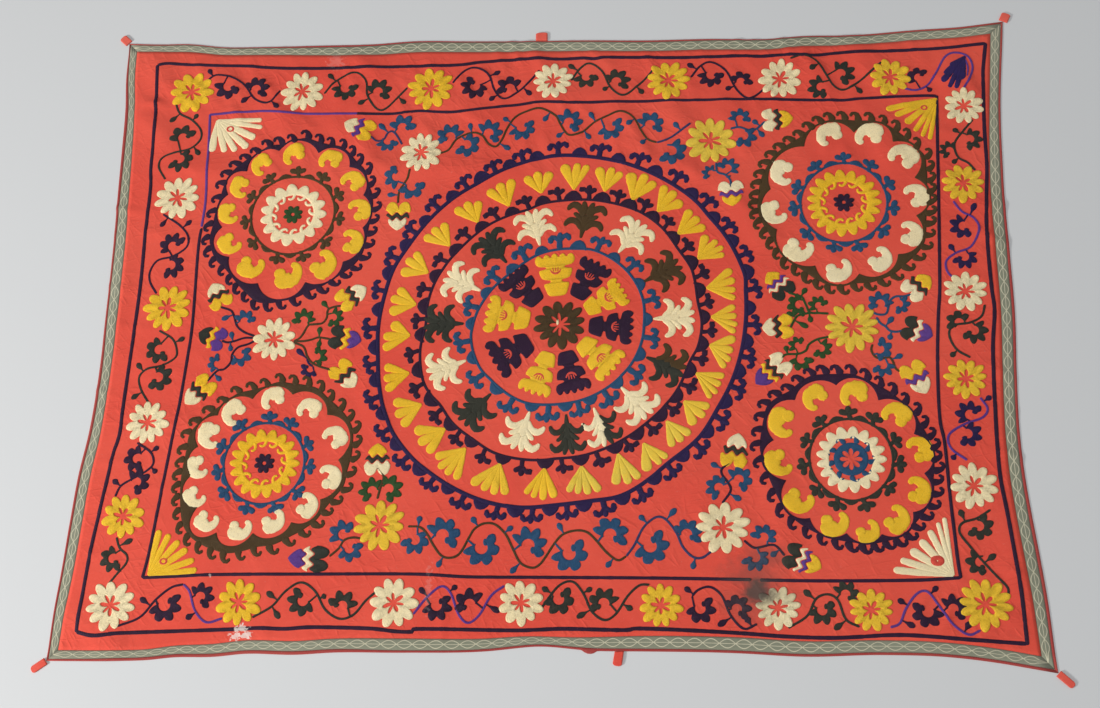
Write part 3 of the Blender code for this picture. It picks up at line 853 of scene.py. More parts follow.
# Border vines: stem thread, leaf thread, points, sprays (eye x, y, start, turn, sweep, size), leaves
borderVines = (
    ("purple", "purple", ((-575, 429), (-562, 440), (-550, 441), (-530, 436), (-509, 422), (-490, 397), (-466, 389), (-449, 411)),
     ((-536, 419, 130, 1, 230), (-489, 414, 190, -1, 250)), ((-569, 447), (-453, 383), (-507, 395))),
    ("black", "black", ((-376, 403), (-356, 427), (-328, 440), (-309, 425), (-303, 395), (-278, 371), (-240, 410)),
     ((-341, 412, 145, 1, 240), (-287, 404, 200, -1, 260)), ((-367, 434), (-313, 386), (-246, 386))),
    ("purple", "purple", ((-167, 416), (-150, 437), (-132, 443), (-110, 430), (-98, 400), (-82, 386), (-56, 402), (-28, 434)),
     ((-131, 409, 30, -1, 290), (-75, 404, 0, 1, 220)), ((-97, 432), (-101, 387), (-44, 395))),
    ("black", "black", ((23, 415), (36, 436), (52, 445), (72, 430), (86, 400), (106, 386), (130, 404), (154, 432)),
     ((47, 421, 150, 1, 230, 0.9), (95, 411, 190, -1, 250)), ((23, 440), (79, 399), (133, 393))),
    ("purple", "purple", ((211, 415), (226, 435), (244, 441), (266, 425), (282, 392), (302, 376), (327, 393)),
     ((243, 418, 140, 1, 240, 0.95), (289, 405, 190, -1, 220, 0.85)), ((211, 436), (271, 395))),
    ("black", "black", ((365, 443), (385, 448), (406, 437), (421, 410), (432, 392), (448, 387), (474, 404), (504, 432)),
     ((411, 391, 60, 1, 250, 0.9), (442, 414, 150, -1, 240)), ((400, 426), (469, 385))),
    ("violet", "purple", ((536, 387), (554, 383), (572, 391), (586, 412), (600, 438), (615, 446), (634, 440), (641, 422), (636, 402), (625, 382)),
     ((559, 405, 250, -1, 230, 0.8),), ((573, 385),)),
    ("black", "black", ((636, 330), (620, 310), (607, 290), (611, 268), (625, 258), (635, 245)),
     ((630, 297, 130, -1, 250, 0.85), (599, 279, 20, 1, 240, 0.7)), ((611, 311), (607, 262))),
    ("violet", "navy", ((600, 195), (612, 178), (628, 168), (635, 150), (622, 122), (600, 112), (585, 99), (586, 82), (596, 70)),
     ((612.5, 154, 70, 1, 250, 0.9), (611, 105, 60, -1, 240, 0.85)), ((629, 185), (594, 120))),
    ("black", "black", ((636, 30), (630, 12), (612, 2), (590, -2), (583, -16), (592, -38), (611, -51)),
     ((597.5, 2.5, 0, 1, 230, 0.85), (618, -10, 90, -1, 260, 0.9)), ((588, -45),)),
    ("violet", "navy", ((621, -111), (630, -128), (622, -141), (598, -150), (575, -166), (577, -186), (598, -203)),
     ((605.5, -136, 260, -1, 250, 0.9), (600.5, -165, 110, -1, 250, 0.9)), ((631, -113), (581, -197))),
    ("black", "black", ((625, -274), (606, -286), (586, -293), (582, -307), (598, -330), (624, -362), (641, -382), (640, -396)),
     ((608, -297.5, 100, -1, 260, 0.9), (606.7, -347.5, 80, 1, 230, 0.85)), ((586, -280), (623, -340))),
    ("violet", "purple", ((602, -440), (586, -446), (566, -432), (552, -412), (535, -389), (520, -392), (505, -412), (496, -432), (483, -438)),
     ((533, -416, 30, -1, 260), (568, -412, 180, -1, 250, 0.9)), ((544, -386), (500, -403), (510, -434), (586, -434))),
    ("black", "black", ((442, -438), (424, -428), (414, -402), (400, -394), (384, -401), (372, -424), (346, -441)),
     ((393, -416, 150, 1, 270, 0.9), (425, -394, 190, -1, 250, 0.85)), ((373, -393), (413, -438))),
    ("purple", "purple", ((304, -436), (286, -443), (268, -425), (256, -398), (240, -386), (224, -390), (215, -399)),
     ((227, -416, 150, 1, 280, 0.95), (277, -416, 190, -1, 260, 0.9)), ((210, -391), (256, -436), (292, -432))),
    ("black", "black", ((156, -384), (142, -385), (126, -400), (110, -425), (94, -434), (76, -422), (64, -398), (48, -381), (28, -388), (6, -418)),
     ((30, -406, 150, 1, 280), (92, -411, -20, 1, 250)), ((127, -416), (11, -393), (61, -428), (70, -393))),
    ("violet", "purple", ((-48, -388), (-66, -402), (-82, -430), (-98, -441), (-112, -428), (-124, -400), (-138, -390), (-158, -406), (-176, -430)),
     ((-143, -417, 160, 1, 260), (-97, -415, 0, 1, 230)), ((-59, -422), (-165, -397), (-121, -393))),
    ("black", "black", ((-232, -399), (-246, -412), (-262, -432), (-282, -438), (-304, -425), (-320, -400), (-342, -387), (-364, -400), (-382, -422), (-409, -438)),
     ((-280, -420, -30, 1, 215), (-338, -413, 0, -1, 260)), ((-386, -405), (-373, -434), (-310, -408))),
    ("violet", "purple", ((-453, -440), (-476, -446), (-494, -430), (-505, -403), (-516, -392)),
     ((-488, -410, 180, -1, 260, 0.9),), ((-501, -438),)),
    ("purple", "purple", ((-516, -392), (-534, -397), (-555, -415), (-575, -440), (-607, -454)),
     ((-540, -422, 165, 1, 250, 1.15),), ((-573, -416),)),
    ("black", "black", ((-630, -395), (-618, -378), (-606, -362), (-607, -350), (-619, -340), (-626, -324)),
     ((-627, -356, 60, 1, 270, 0.9),), ((-607, -330), (-615, -378))),
    ("purple", "purple", ((-636, -263), (-630, -247), (-614, -236), (-594, -224), (-584, -212), (-590, -195), (-613, -180)),
     ((-609.5, -205, 50, 1, 260, 0.95), (-606, -241, 170, -1, 270, 0.95)), ((-638, -241), (-584, -190), (-582, -222))),
    ("black", "black", ((-603, -118), (-618, -96), (-623, -77), (-612, -64), (-590, -58), (-571, -46), (-569, -34), (-578, -15), (-601, -1)),
     ((-597, -32.5, 70, 1, 260), (-593, -77.5, 120, -1, 270)), ((-625, -59), (-626, -107), (-565, -16))),
    ("purple", "purple", ((-613, 60), (-626, 80), (-628, 98), (-618, 116), (-594, 123), (-574, 138), (-573, 156), (-590, 176), (-619, 195)),
     ((-596, 140, 250, -1, 240), (-596, 107, 110, -1, 240)), ((-617, 179), (-576, 179))),
    ("black", "black", ((-623, 256), (-636, 278), (-632, 294), (-614, 303), (-588, 310), (-573, 326), (-575, 344), (-592, 362), (-613, 374), (-623, 397)),
     ((-602, 330, 230, -1, 230), (-602.5, 290, 95, -1, 260)), ((-623, 363), (-586, 366), (-575, 303))),
)
for stemThread, leafThread, points, sprays, leaves in borderVines:
    vine(stemThread, leafThread, points, sprays, leaves)

# The broad leaf inside the loop of the top right corner
fan("navy", (631, 440), ((608, 420), (598, 408), (594, 395), (604, 385), (614, 382.5), (622, 397)), 0.6)
stroke("violet", [(630, 436, 3), (634, 420, 3.4), (632, 404, 2)])

print("stitching the centre")
# Inner edges of the three hooked rings: angle, radius
navyEdge = ((0, 269), (10, 274), (15, 279), (20, 279), (30, 278), (38, 276), (45, 278), (55, 277), (65, 276), (75, 276),
            (85, 276), (92, 277), (100, 275), (110, 272), (120, 269), (130, 270), (150, 270), (160, 273.5), (170, 273),
            (180, 274.5), (190, 276), (200, 283), (205, 287), (210, 290), (215, 293), (225, 293), (230, 291), (240, 288.5),
            (250, 285.5), (260, 280), (270, 272), (280, 270), (290, 274), (300, 268), (305, 264), (310, 263), (320, 265.5),
            (330, 262.5), (340, 264), (350, 266))
purpleEdge = ((0, 206), (10, 203), (20, 207.5), (25, 209.5), (35, 208), (45, 212), (55, 213), (60, 212), (70, 208),
              (80, 204.5), (90, 201), (100, 199), (107, 195), (115, 196.5), (125, 199), (140, 200), (150, 202.5),
              (160, 205), (170, 205), (180, 203), (190, 212), (200, 218), (205, 219.5), (210, 217.5), (216, 213.5),
              (225, 216), (235, 214.5), (245, 216), (255, 212), (265, 207), (270, 204), (280, 203), (290, 201),
              (300, 199), (310, 197.5), (320, 198), (330, 198.5), (340, 197), (345, 199), (350, 203.5))
tealEdge = ((0, 123), (10, 125), (20, 127), (40, 128), (60, 127), (70, 126), (80, 122), (90, 120), (100, 118.5), (110, 116.5),
            (120, 113.5), (130, 112), (140, 113.5), (150, 117), (160, 120.5), (170, 125), (180, 129), (190, 132.5),
            (210, 133), (220, 130), (230, 129), (240, 129), (250, 128), (260, 124.5), (270, 122), (280, 121),
            (300, 120.5), (320, 121), (330, 122), (350, 123))
# Gold fans: apex angle and radius, finger tips (angle, radius), how pale
goldFans = (
    (86.7, 221, ((91, 265), (86.3, 267), (82.8, 265)), 0), (74.5, 225, ((79, 264), (74.5, 268), (71, 264)), 0),
    (63, 226, ((68, 268), (63.3, 275), (59.2, 270)), 0), (52.2, 230, ((56, 273), (52, 274), (47.6, 267)), 0),
    (40, 224, ((44, 266), (40, 267), (36, 265)), 0), (27, 227, ((33.6, 258), (30, 267), (27, 270), (24.4, 266)), 0.1),
    (14.7, 222, ((18.7, 267), (15, 267), (11.5, 264), (8.6, 261)), 0.1),
    (2.7, 222, ((6, 259), (2.6, 260), (-0.6, 261), (-3.2, 258)), 0.2),
    (351.3, 222, ((354.8, 259), (350.4, 258), (346.8, 257), (344, 252)), 0.35),
    (339, 214, ((341.3, 255), (338, 255), (334.8, 255), (332.4, 250)), 0.3),
    (326.8, 218, ((329.7, 255), (326, 257), (321.6, 252)), 0.5), (316.5, 217, ((318.6, 257), (315, 256), (311.4, 252)), 0.9),
    (304.3, 221, ((308, 260), (305, 262), (300.2, 261)), 0.9), (294, 217, ((297, 265), (293.4, 266), (289.4, 260)), 1),
    (279.5, 220, ((284, 263), (280.4, 264), (277, 261), (274, 257)), 1),
    (265.5, 221, ((269.8, 265), (266.2, 269), (263, 267), (260.4, 263)), 0),
    (249, 229, ((254.6, 271), (251, 276), (247.4, 276), (243.4, 275)), 0.2),
    (235, 233, ((238.6, 280), (235.2, 282), (232, 281), (229, 272)), 0.1),
    (224.3, 231, ((226.4, 275), (222, 276), (217.8, 269)), 0.1), (211.5, 238, ((214.4, 280), (210.2, 281), (206, 275)), 0.1),
    (198.5, 237, ((201.6, 279), (197.8, 277), (193.8, 272)), 0), (184, 228, ((187.8, 271), (183.6, 270), (179, 258)), 0),
    (171.3, 224, ((175.2, 264), (170.2, 266), (166.4, 259)), 0), (157.5, 223, ((160.6, 265), (155.8, 266), (152.2, 259)), 0),
    (143.5, 218, ((146, 262), (141.8, 260), (138, 253)), 0), (128.5, 215, ((131.6, 258), (127.2, 256), (123.4, 246)), 0),
    (114, 213, ((118.6, 254), (114, 257), (109.4, 256)), 0), (99.8, 219, ((104.6, 253), (100.3, 257), (95.6, 254)), 0),
)
fanMiddle = (20, 4)
for angle, radius, tips, pale in goldFans:
    fan("gold", polar(fanMiddle, angle, radius), [polar(fanMiddle, a, r) for a, r in tips], pale)

# A hooked ring: a band with a smooth hump at each hump angle and a lobed twig at each twig angle
humpRows = ((-12.5, -3.4, 2), (-8, 1.4, 8.4), (0, 5.2, 13.5), (8, 1.4, 8.4), (12.5, -3.4, 2))
uprightTwig = (
    ((0, 2, 10), (0, 9, 7.5), (0, 17, 7.5)),
    ((0, 15, 7), (-0.4, 22, 7.6), (-1, 28.5, 4.6)),
    ((0, 13, 5), (5.6, 20, 6), (11, 20.5, 7.8), (12.8, 15.6, 8.4), (10, 12.2, 5.4)),
    ((0, 14, 5), (-5.6, 21.5, 6), (-11, 23.4, 7.4), (-13.6, 19, 7.4), (-11.8, 15.6, 4.6)),
)
leaningTwig = (
    ((-2.5, 2, 8), (-1.8, 9, 6), (0, 17, 7)),
    ((0, 13, 5.4), (6, 18.4, 6), (11.4, 18, 9.4), (10.4, 13.8, 7)),
    ((0, 14, 6), (0.6, 21, 8.2), (0, 27.4, 5.6)),
    ((0, 12.5, 5), (-5.6, 18, 7), (-11, 22, 6.8)),
)
smallHump = ((-10, -1, 2), (-5, 0.6, 5), (0, 1.4, 7), (5, 0.6, 5), (10, -1, 2))
sprig = (
    ((-3, 0, 6), (-0.6, 4, 5.4), (1, 9, 6)),
    ((1, 7, 5), (6.5, 9.4, 7.4), (11.5, 10.6, 8.4)),
    ((1, 8, 6), (0.8, 13, 7.6), (0.4, 17, 6.4)),
    ((1, 7, 5), (-5, 10.4, 7.4), (-9.6, 11, 8)),
)
fatter = 1.2  # widths of the large rings' twigs, against those above


def hookedRing(thread, at, edge, width, humps, twigs, hump=humpRows, twig=uprightTwig, size=1.0, twigSize=1.0):
    angle = evenAngles(360)
    inner = radiusAround(edge, np.degrees(angle))
    ring(thread, at, inner, inner + width)
    for a in humps:
        root = polar(at, a, radiusAround(edge, a) + width)
        stroke(thread, turned(hump, root, a, size * wobbler.uniform(0.92, 1.1)))
    for a in twigs:
        root = polar(at, a, radiusAround(edge, a))
        scale = twigSize * wobbler.uniform(0.95, 1.05)
        for rows in twig:
            fat = 1 if twig is sprig else fatter
            stroke(thread, turned([(side, far, wide * fat) for side, far, wide in rows], root, a, scale))


def halfway(angles):
    line = np.sort(np.array(angles, float) % 360)
    after = np.roll(line, -1)
    after[-1] += 360
    return list((line + after) / 2)


# Palmettes: thread, angle, radius of the base
palmettes = (
    ("olive", 79, 143), ("ivory", 53.5, 144), ("olive", 28.5, 142), ("ivory", 3.3, 140), ("oliveBlack", 338, 140),
    ("ivory", 313.5, 136), ("blackIvory", 292.5, 141), ("black", 275.5, 141), ("ivory", 253.5, 142),
    ("black", 227.5, 147), ("ivory", 202, 150), ("black", 179, 146), ("ivory", 155.5, 135),
    ("black", 130, 132), ("ivory", 105, 134),
)
navyHumps = (86, 73.5, 61, 47.5, 37, 27.5, 16.5, 5, 354, 344, 333.5, 322.5, 312, 301, 290, 278.5, 268.5, 258.5, 248.5,
             238, 228, 218, 208, 197.5, 187, 174.5, 162, 151.5, 141.5, 129.5, 118.5, 108.5, 99.5)
fanAngles = [row[0] for row in goldFans]
palmetteAngles = [row[1] for row in palmettes]
hookedRing("navy", fanMiddle, navyEdge, 6.8, navyHumps, halfway(navyHumps))
hookedRing("purple", fanMiddle, purpleEdge, 4.8, fanAngles, halfway(fanAngles), twig=leaningTwig, size=1.05)
hookedRing("teal", (18, 4), tealEdge, 4.8, palmetteAngles, halfway(palmetteAngles), size=0.95, twigSize=1.02)

# A palmette: a stalk, four spreading lower leaves, two drooping upper ones and three upright lobes
palmetteStrokes = (
    ((0, -1, 4), (0, 7, 7), (0, 18, 11), (0, 30, 14), (0, 38, 14)),
    ((2, 13, 7), (11, 24, 10), (21, 25.5, 11), (27, 19, 8), (26.5, 14.5, 5)),
    ((-2, 13, 7), (-11, 24, 10), (-21, 25.5, 11), (-27, 19, 8), (-26.5, 14.5, 5)),
    ((3, 26, 8), (12, 34.5, 8.6), (19, 38, 5.4)),
    ((-3, 26, 8), (-12, 34.5, 8.6), (-19, 38, 5.4)),
    ((3, 34, 10), (10, 46, 11), (20.5, 51.5, 11.6), (27.5, 45.5, 8.4), (27.5, 40.5, 5)),
    ((-3, 34, 10), (-10, 46, 11), (-20.5, 51.5, 11.6), (-27.5, 45.5, 8.4), (-27.5, 40.5, 5)),
    ((3, 36, 9), (4.8, 49, 10.6), (7.4, 59.5, 6)),
    ((-3, 36, 9), (-4.8, 49, 10.6), (-7.4, 59.5, 6)),
)
twoTone = {"oliveBlack": ("olive", "black"), "blackIvory": ("black", "ivory")}
for thread, angle, radius in palmettes:
    root = polar((18, 4), angle, radius)
    left, right = twoTone.get(thread, (thread, thread))
    nearest = min(abs((angle - other + 180) % 360 - 180) for other in palmetteAngles if other != angle)
    squeeze = min(1, math.radians(nearest) / 2 * (radius + 40) / 31)
    for i, rows in enumerate(palmetteStrokes):
        rows = [(side * squeeze, far, wide * squeeze) for side, far, wide in rows]
        stroke(left if i % 2 else right, turned(rows, root, angle, 1.02))

# Sectors round the centre: thread, angle, half angle, inner radius
sectors = (
    ("gold", 170, 16.5, 46), ("purple", 134, 15, 48), ("gold", 96, 16.5, 46), ("purple", 61, 14.5, 48), ("gold", 30.5, 14, 44),
    ("purple", 357, 15.5, 43), ("gold", 320, 16.5, 41), ("purple", 283.5, 15, 43), ("gold", 251, 13.8, 46), ("purple", 211, 17.5, 50),
)
# Share of the full half width at each height between a sector's base and its crown
sectorShape = ((0, 0.0), (0.5, 0.74), (2, 0.92), (5, 1.0), (17, 1.02), (20, 0.95), (21.5, 0.55), (23, 0.42), (25.5, 0.45),
               (27, 0.8), (29, 0.95), (33, 1.0), (39, 1.0), (42, 0.94), (43.5, 0.62), (45.2, 0.5), (47, 0.56),
               (48.5, 0.88), (51, 0.98), (56, 1.0), (61, 0.94), (62, 0.0))
for thread, angle, halfAngle, radius in sectors:
    middle = (18, 4)
    outside = 118 if radius > 45 else 113
    scale = (outside - radius) / 70
    steps = np.arange(0, 62.1, 0.5)
    shape = np.array(sectorShape)
    share = np.interp(steps, shape[:, 0], shape[:, 1])
    reach = radius + steps * scale
    width = reach * math.tan(math.radians(halfAngle)) * share
    a = math.radians(angle)
    out, side = np.array((math.cos(a), math.sin(a))), np.array((-math.sin(a), math.cos(a)))
    line = np.array(middle) + reach[:, None] * out
    band(thread, line + side * width[:, None], line - side * width[:, None], reach)
    crown = (radius + 50 * scale) * math.tan(math.radians(halfAngle))
    for k in range(5):
        across = (k - 2) / 2 * crown * 0.84
        lobe = (
            (across * 0.94, radius + 50 * scale, crown * 0.30), (across, radius + 60 * scale, crown * 0.40),
            (across * 1.06, outside - 2.5 - abs(k - 2), crown * 0.20),
        )
        stroke(thread, turned(lobe, middle, angle), level=0.02 * k)
    eyeAt = radius + 37 * scale
    eyeRows = ((-8, eyeAt + 5, 2.4), (-5, eyeAt, 4), (0, eyeAt - 1.6, 5), (5, eyeAt, 4), (8, eyeAt + 5, 2.4))
    stroke("red", turned(eyeRows, middle, angle), level=0.35)
    for across in (-3, 0, 3.2):
        stroke("red", turned(((across, eyeAt + 1, 2.6), (across * 1.4, eyeAt + 8.5, 1.8)), middle, angle), level=0.4)

rosette("olive", 18, 4, 38, 12, 8, 10, eye=(5.0, 0.45))
stroke("ivory", [(12.5, 8, 10.5), (16.5, 8, 10.5)])

print("stitching the corner medallions")
# A paisley along its ring: a fat crescent whose leading end curls in, and a lobe under its other end
paisleyStrokes = (
    ((4.4, -12, 7), (9.4, -12.6, 9), (12.6, -8, 11), (12.4, -1, 13), (8.4, 4.6, 17), (0, 6.6, 20), (-8, 7, 18.5), (-13.6, 7.6, 11)),
    ((-1, 1, 14), (-8.4, -2.8, 14), (-13.4, -6.4, 10.4)),
)
# One medallion: beans (x, y, size), scallops (angle and radius of the cusp, then the radius of the
# top that follows it), hooks (angle, radius of the tip)
medallions = (
    dict(
        at=(-409, 184), thread="purple", bean="gold", ringAt=(-408, 191), ringThread="olive", ringR=64,
        star="ivory", starR=53, petals=15, heart="leaf", curls=12,
        beans=((-465, 280, 1), (-413, 296, 1.02), (-353, 284, 1.02), (-315, 245, 1.02), (-301, 195, 1.05), (-310, 141, 1.1),
               (-354, 104, 1.25), (-409, 88, 1.25), (-469, 105, 1.15), (-506, 145, 1.05), (-512, 197, 1.0), (-497, 242, 0.98)),
        scallops=((19, 117, 131), (45.4, 121, 136), (73.7, 117, 134), (104.8, 121, 131), (134, 115, 129), (158, 115, 122),
                  (186.6, 111, 128), (213.9, 113, 126), (247.9, 116, 135), (286.2, 111, 125), (319.8, 114, 125),
                  (351.4, 115, 125)),
        hooks=((175, 139), (164, 139), (153.5, 143), (145.5, 146), (137, 147), (129, 147), (121, 146), (112, 149), (104, 147),
               (95, 147), (86, 153), (77, 150), (69, 150), (61, 155), (53, 153), (45, 150), (36, 151), (27, 145), (18, 145),
               (8, 143), (359, 140), (350, 139), (341, 142), (332, 146), (323, 146), (315, 143), (306, 141), (297, 142),
               (288, 142), (278, 148), (269, 152), (261, 157), (253, 159), (245, 153), (237, 148), (229, 144), (220, 143),
               (211.5, 147), (203, 148), (194.5, 147), (185, 141)),
    ),
    dict(
        at=(436, 197), thread="olive", bean="ivory", ringAt=(440, 196), ringThread="teal", ringR=62,
        star="gold", starR=55, petals=19, heart="purple", curls=13,
        beans=((424, 311, 1.12), (484, 307, 1.15), (533, 268, 1.2), (548, 203, 1.08), (535, 141, 1.08), (488, 102, 1.05),
               (427, 86, 1.08), (369, 122, 1.18), (335, 184, 1.12), (351, 250, 1.12)),
        scallops=((19.1, 115, 142), (50.7, 125, 142), (78.9, 117, 134), (119.2, 107, 120), (167.5, 106, 118),
                  (204.8, 105, 121), (248.4, 110, 133), (281, 118, 131), (313, 117, 131), (347.5, 111, 129)),
        hooks=((174, 137), (166, 138), (158, 139), (150, 139), (142, 140), (134, 139), (126, 138), (118, 138), (110, 144),
               (103, 149), (96, 152), (88, 152), (80, 152), (72, 155), (64, 159), (56, 159), (48, 158), (40, 157), (31, 160),
               (23.5, 153), (16, 147), (8.5, 142), (1, 140), (353, 140), (345.5, 141), (337.5, 146), (329.5, 151),
               (321, 151), (312, 150), (303, 152), (294.5, 151), (286, 150), (278, 147), (270, 149), (262, 150),
               (254.5, 146), (246.5, 141), (238, 138), (229.5, 138), (221, 136), (212.5, 133), (204, 133), (196, 136),
               (188.5, 138), (181, 138)),
    ),
    dict(
        at=(-408, -214), thread="olive", bean="ivory", ringAt=(-414, -211), ringThread="teal", ringR=60,
        star="gold", starR=53, petals=18, heart="purple", curls=12,
        beans=((-408, -110, 1.02), (-351, -128, 1.0), (-309, -173, 1.02), (-313, -234, 1.04), (-345, -276, 1.0),
               (-394, -299, 1.0), (-443, -310, 0.98), (-494, -297, 0.98), (-516, -261, 0.96), (-516, -215, 1.0),
               (-501, -166, 1.1), (-467, -131, 1.1)),
        scallops=((4.7, 105, 129), (43, 113, 126), (76, 112, 122), (108.2, 107, 122), (137.9, 114, 127), (165.6, 113, 122),
                  (187, 112, 132), (212, 116, 145), (236.4, 121, 129), (262.8, 102, 109), (296.8, 95, 108), (328.4, 97, 113)),
        hooks=((170, 143), (160, 147), (151, 144), (140, 140), (129, 137), (118, 139), (107.5, 136), (98, 137), (88, 143),
               (79, 143), (70, 146), (61, 149), (52, 146), (42.5, 147), (33.5, 149), (25, 149), (16, 144), (6.5, 139),
               (356, 134), (345, 134), (334.5, 128), (324.5, 126), (314, 128), (303, 128), (291, 129), (279, 134),
               (268, 136), (258.5, 145), (250, 154), (242, 158), (234, 162), (226, 165), (218, 164), (210, 158),
               (202, 152), (194.5, 148), (186.5, 145), (178.5, 143)),
    ),
    dict(
        at=(433, -199), thread="purple", bean="gold", ringAt=(438, -202), ringThread="black", ringR=57,
        star="ivory", starR=49, petals=17, heart="red", curls=0,
        beans=((392, -109, 1.05), (448, -105, 1.12), (506, -138, 1.1), (535, -190, 1.08), (528, -249, 1.05), (496, -290, 1.08),
               (456, -307, 0.95), (410, -295, 1.1), (362, -261, 1.12), (336, -205, 1.12), (344, -145, 1.2)),
        scallops=((20, 99, 113), (61.2, 95, 117), (96.7, 107, 121), (130.2, 110, 126), (166.5, 105, 117), (202, 92, 115),
                  (238.4, 103, 117), (267.6, 109, 124), (291.5, 118, 131), (317.9, 117, 126), (347.5, 107, 118)),
        hooks=((173, 137), (163.5, 139), (154, 143), (146, 148), (137.5, 145), (129, 140), (120.5, 142), (112, 144),
               (104, 141), (95.5, 138), (86.5, 138), (77, 134), (67, 130), (57, 129), (46.5, 128), (36, 130), (26, 128),
               (17, 130), (9, 131), (1, 131), (353.5, 134), (345.5, 135), (338, 140), (330, 143), (322, 143), (314, 144),
               (307, 147), (300, 147), (293.5, 144), (286.5, 142), (279.5, 140), (271.5, 136), (262.5, 134), (252.5, 133),
               (242, 132), (231, 132), (220, 131), (208.5, 128), (196, 128), (184, 132)),
    ),
)


# Inner edge of a scalloped band: between two cusps the radius rises as a round arch to its top
def scalloped(scallops, angle):
    rows = np.array(sorted(scallops), float)
    rows = np.concatenate((rows, rows[:1] + (360, 0, 0)))
    angle = (angle - rows[0, 0]) % 360 + rows[0, 0]
    i = np.clip(np.searchsorted(rows[:, 0], angle, side="right") - 1, 0, len(rows) - 2)
    t = (angle - rows[i, 0]) / (rows[i + 1, 0] - rows[i, 0])
    line = rows[i, 1] * (1 - t) + rows[i + 1, 1] * t
    return line + (rows[i, 2] - (rows[i, 1] + rows[i + 1, 1]) / 2) * (1 - abs(2 * t - 1) ** 2.3)


for one in medallions:
    at, thread = one["at"], one["thread"]
    angle = evenAngles(480)
    inner = scalloped(one["scallops"], np.degrees(angle))
    rim = [(a, r - 13.2) for a, r in one["hooks"]]
    ring(thread, at, inner, np.maximum(radiusAround(rim, np.degrees(angle)), inner + 3.6))
    for a, r in rim:
        stroke(thread, turned(waveCrest, polar(at, a, r), a, wobbler.uniform(0.95, 1.06)))
    for x, y, size in one["beans"]:
        heading = math.degrees(math.atan2(y - at[1], x - at[0]))
        for rows in paisleyStrokes:
            stroke(one["bean"], turned(rows, (x, y), heading, size * 1.07), step=2.2)
    ringAt, radius = one["ringAt"], one["ringR"]
    twigs = [360 * i / 11 + 25 + wobbler.uniform(-3, 3) for i in range(11)]
    hookedRing(one["ringThread"], ringAt, [(a, radius + wobbler.uniform(-1.5, 1.5)) for a in range(0, 360, 45)], 4.4,
               halfway(twigs), twigs, smallHump, sprig, twigSize=1.25)
    petals = one["petals"]
    angle = evenAngles(petals * 16)
    petal = abs(np.cos(petals / 2 * (angle + 0.05 * np.sin(2 * angle)))) ** 0.8
    starOuter = one["starR"] * (0.79 + 0.22 * petal) * (1 + 0.02 * np.sin(3 * angle + 1))
    starInner = np.full_like(starOuter, one["starR"] * 0.62)
    ring(one["star"], ringAt, starInner, starOuter)
    for i in range(one["curls"]):
        a = 360 * i / one["curls"] + 9
        root = polar(ringAt, a, one["starR"] * 0.64)
        curl = ((-6, 3, 6), (-4.5, -3, 5.6), (-1, -7, 4.6), (3, -7.2, 4.2), (4.6, -4.4, 4.2))
        stroke(one["star"], turned(curl, root, a))
    if one["curls"]:
        rosette(one["heart"], *ringAt, 15.5, 8, 5, 20, eye=(2.6, 0.18))
    else:
        angle = evenAngles(160)
        ring("teal", ringAt, 4.5 + 11 * abs(np.cos(4 * angle)) ** 0.6, np.full_like(angle, 24.5))
        for a in range(0, 360, 40):
            stroke("teal", turned(waveCrest, polar(ringAt, a, 25.5), a, 0.74))

print("stitching the field")
for i, (thread, x, y, radius, petals, shade) in enumerate(fieldFlowers):
    rosette(thread, x, y, radius, petals, turn=23 * i, shade=shade)

# Buds: middle, tip, threads from the base to the tip
buds = (
    (-309, 338, -338, 350, ("gold", "violet", "ivory")), (-240, 188, -240, 161, ("gold", "black", "ivory")),
    (342, 338, 368, 340, ("ivory", "black", "gold")), (273, 213, 275, 192, ("ivory", "violet", "gold")),
    (342, 63, 325, 84, ("black", "ivory", "violet", "gold")), (542, 59, 561, 75, ("ivory", "black", "gold")),
    (340, -2, 316, -4, ("gold", "black", "ivory")), (538, -9, 560, -18, ("black", "ivory", "violet")),
    (335, -65, 306, -90, ("ivory", "black", "gold", "violet")), (533, -78, 547, -105, ("gold", "violet", "ivory")),
    (-513, 55, -525, 76, ("gold", "black", "ivory")), (-305, 51, -281, 67, ("gold", "black", "ivory")),
    (-515, -13, -538, -5, ("violet", "gold", "black")), (-311, -15, -282, -20, ("black", "gold", "violet")),
    (-523, -95, -546, -119, ("gold", "black", "ivory")), (-305, -72, -286, -93, ("gold", "black", "ivory")),
    (-244, -207, -245, -180, ("ivory", "black", "gold")), (-326, -353, -365, -352, ("black", "ivory", "violet")),
    (275, -195, 281, -164, ("gold", "black", "ivory")), (363, -345, 393, -358, ("black", "ivory", "violet", "gold")),
)
for x, y, tipX, tipY, threads in buds:
    bud(x, y, tipX, tipY, threads)

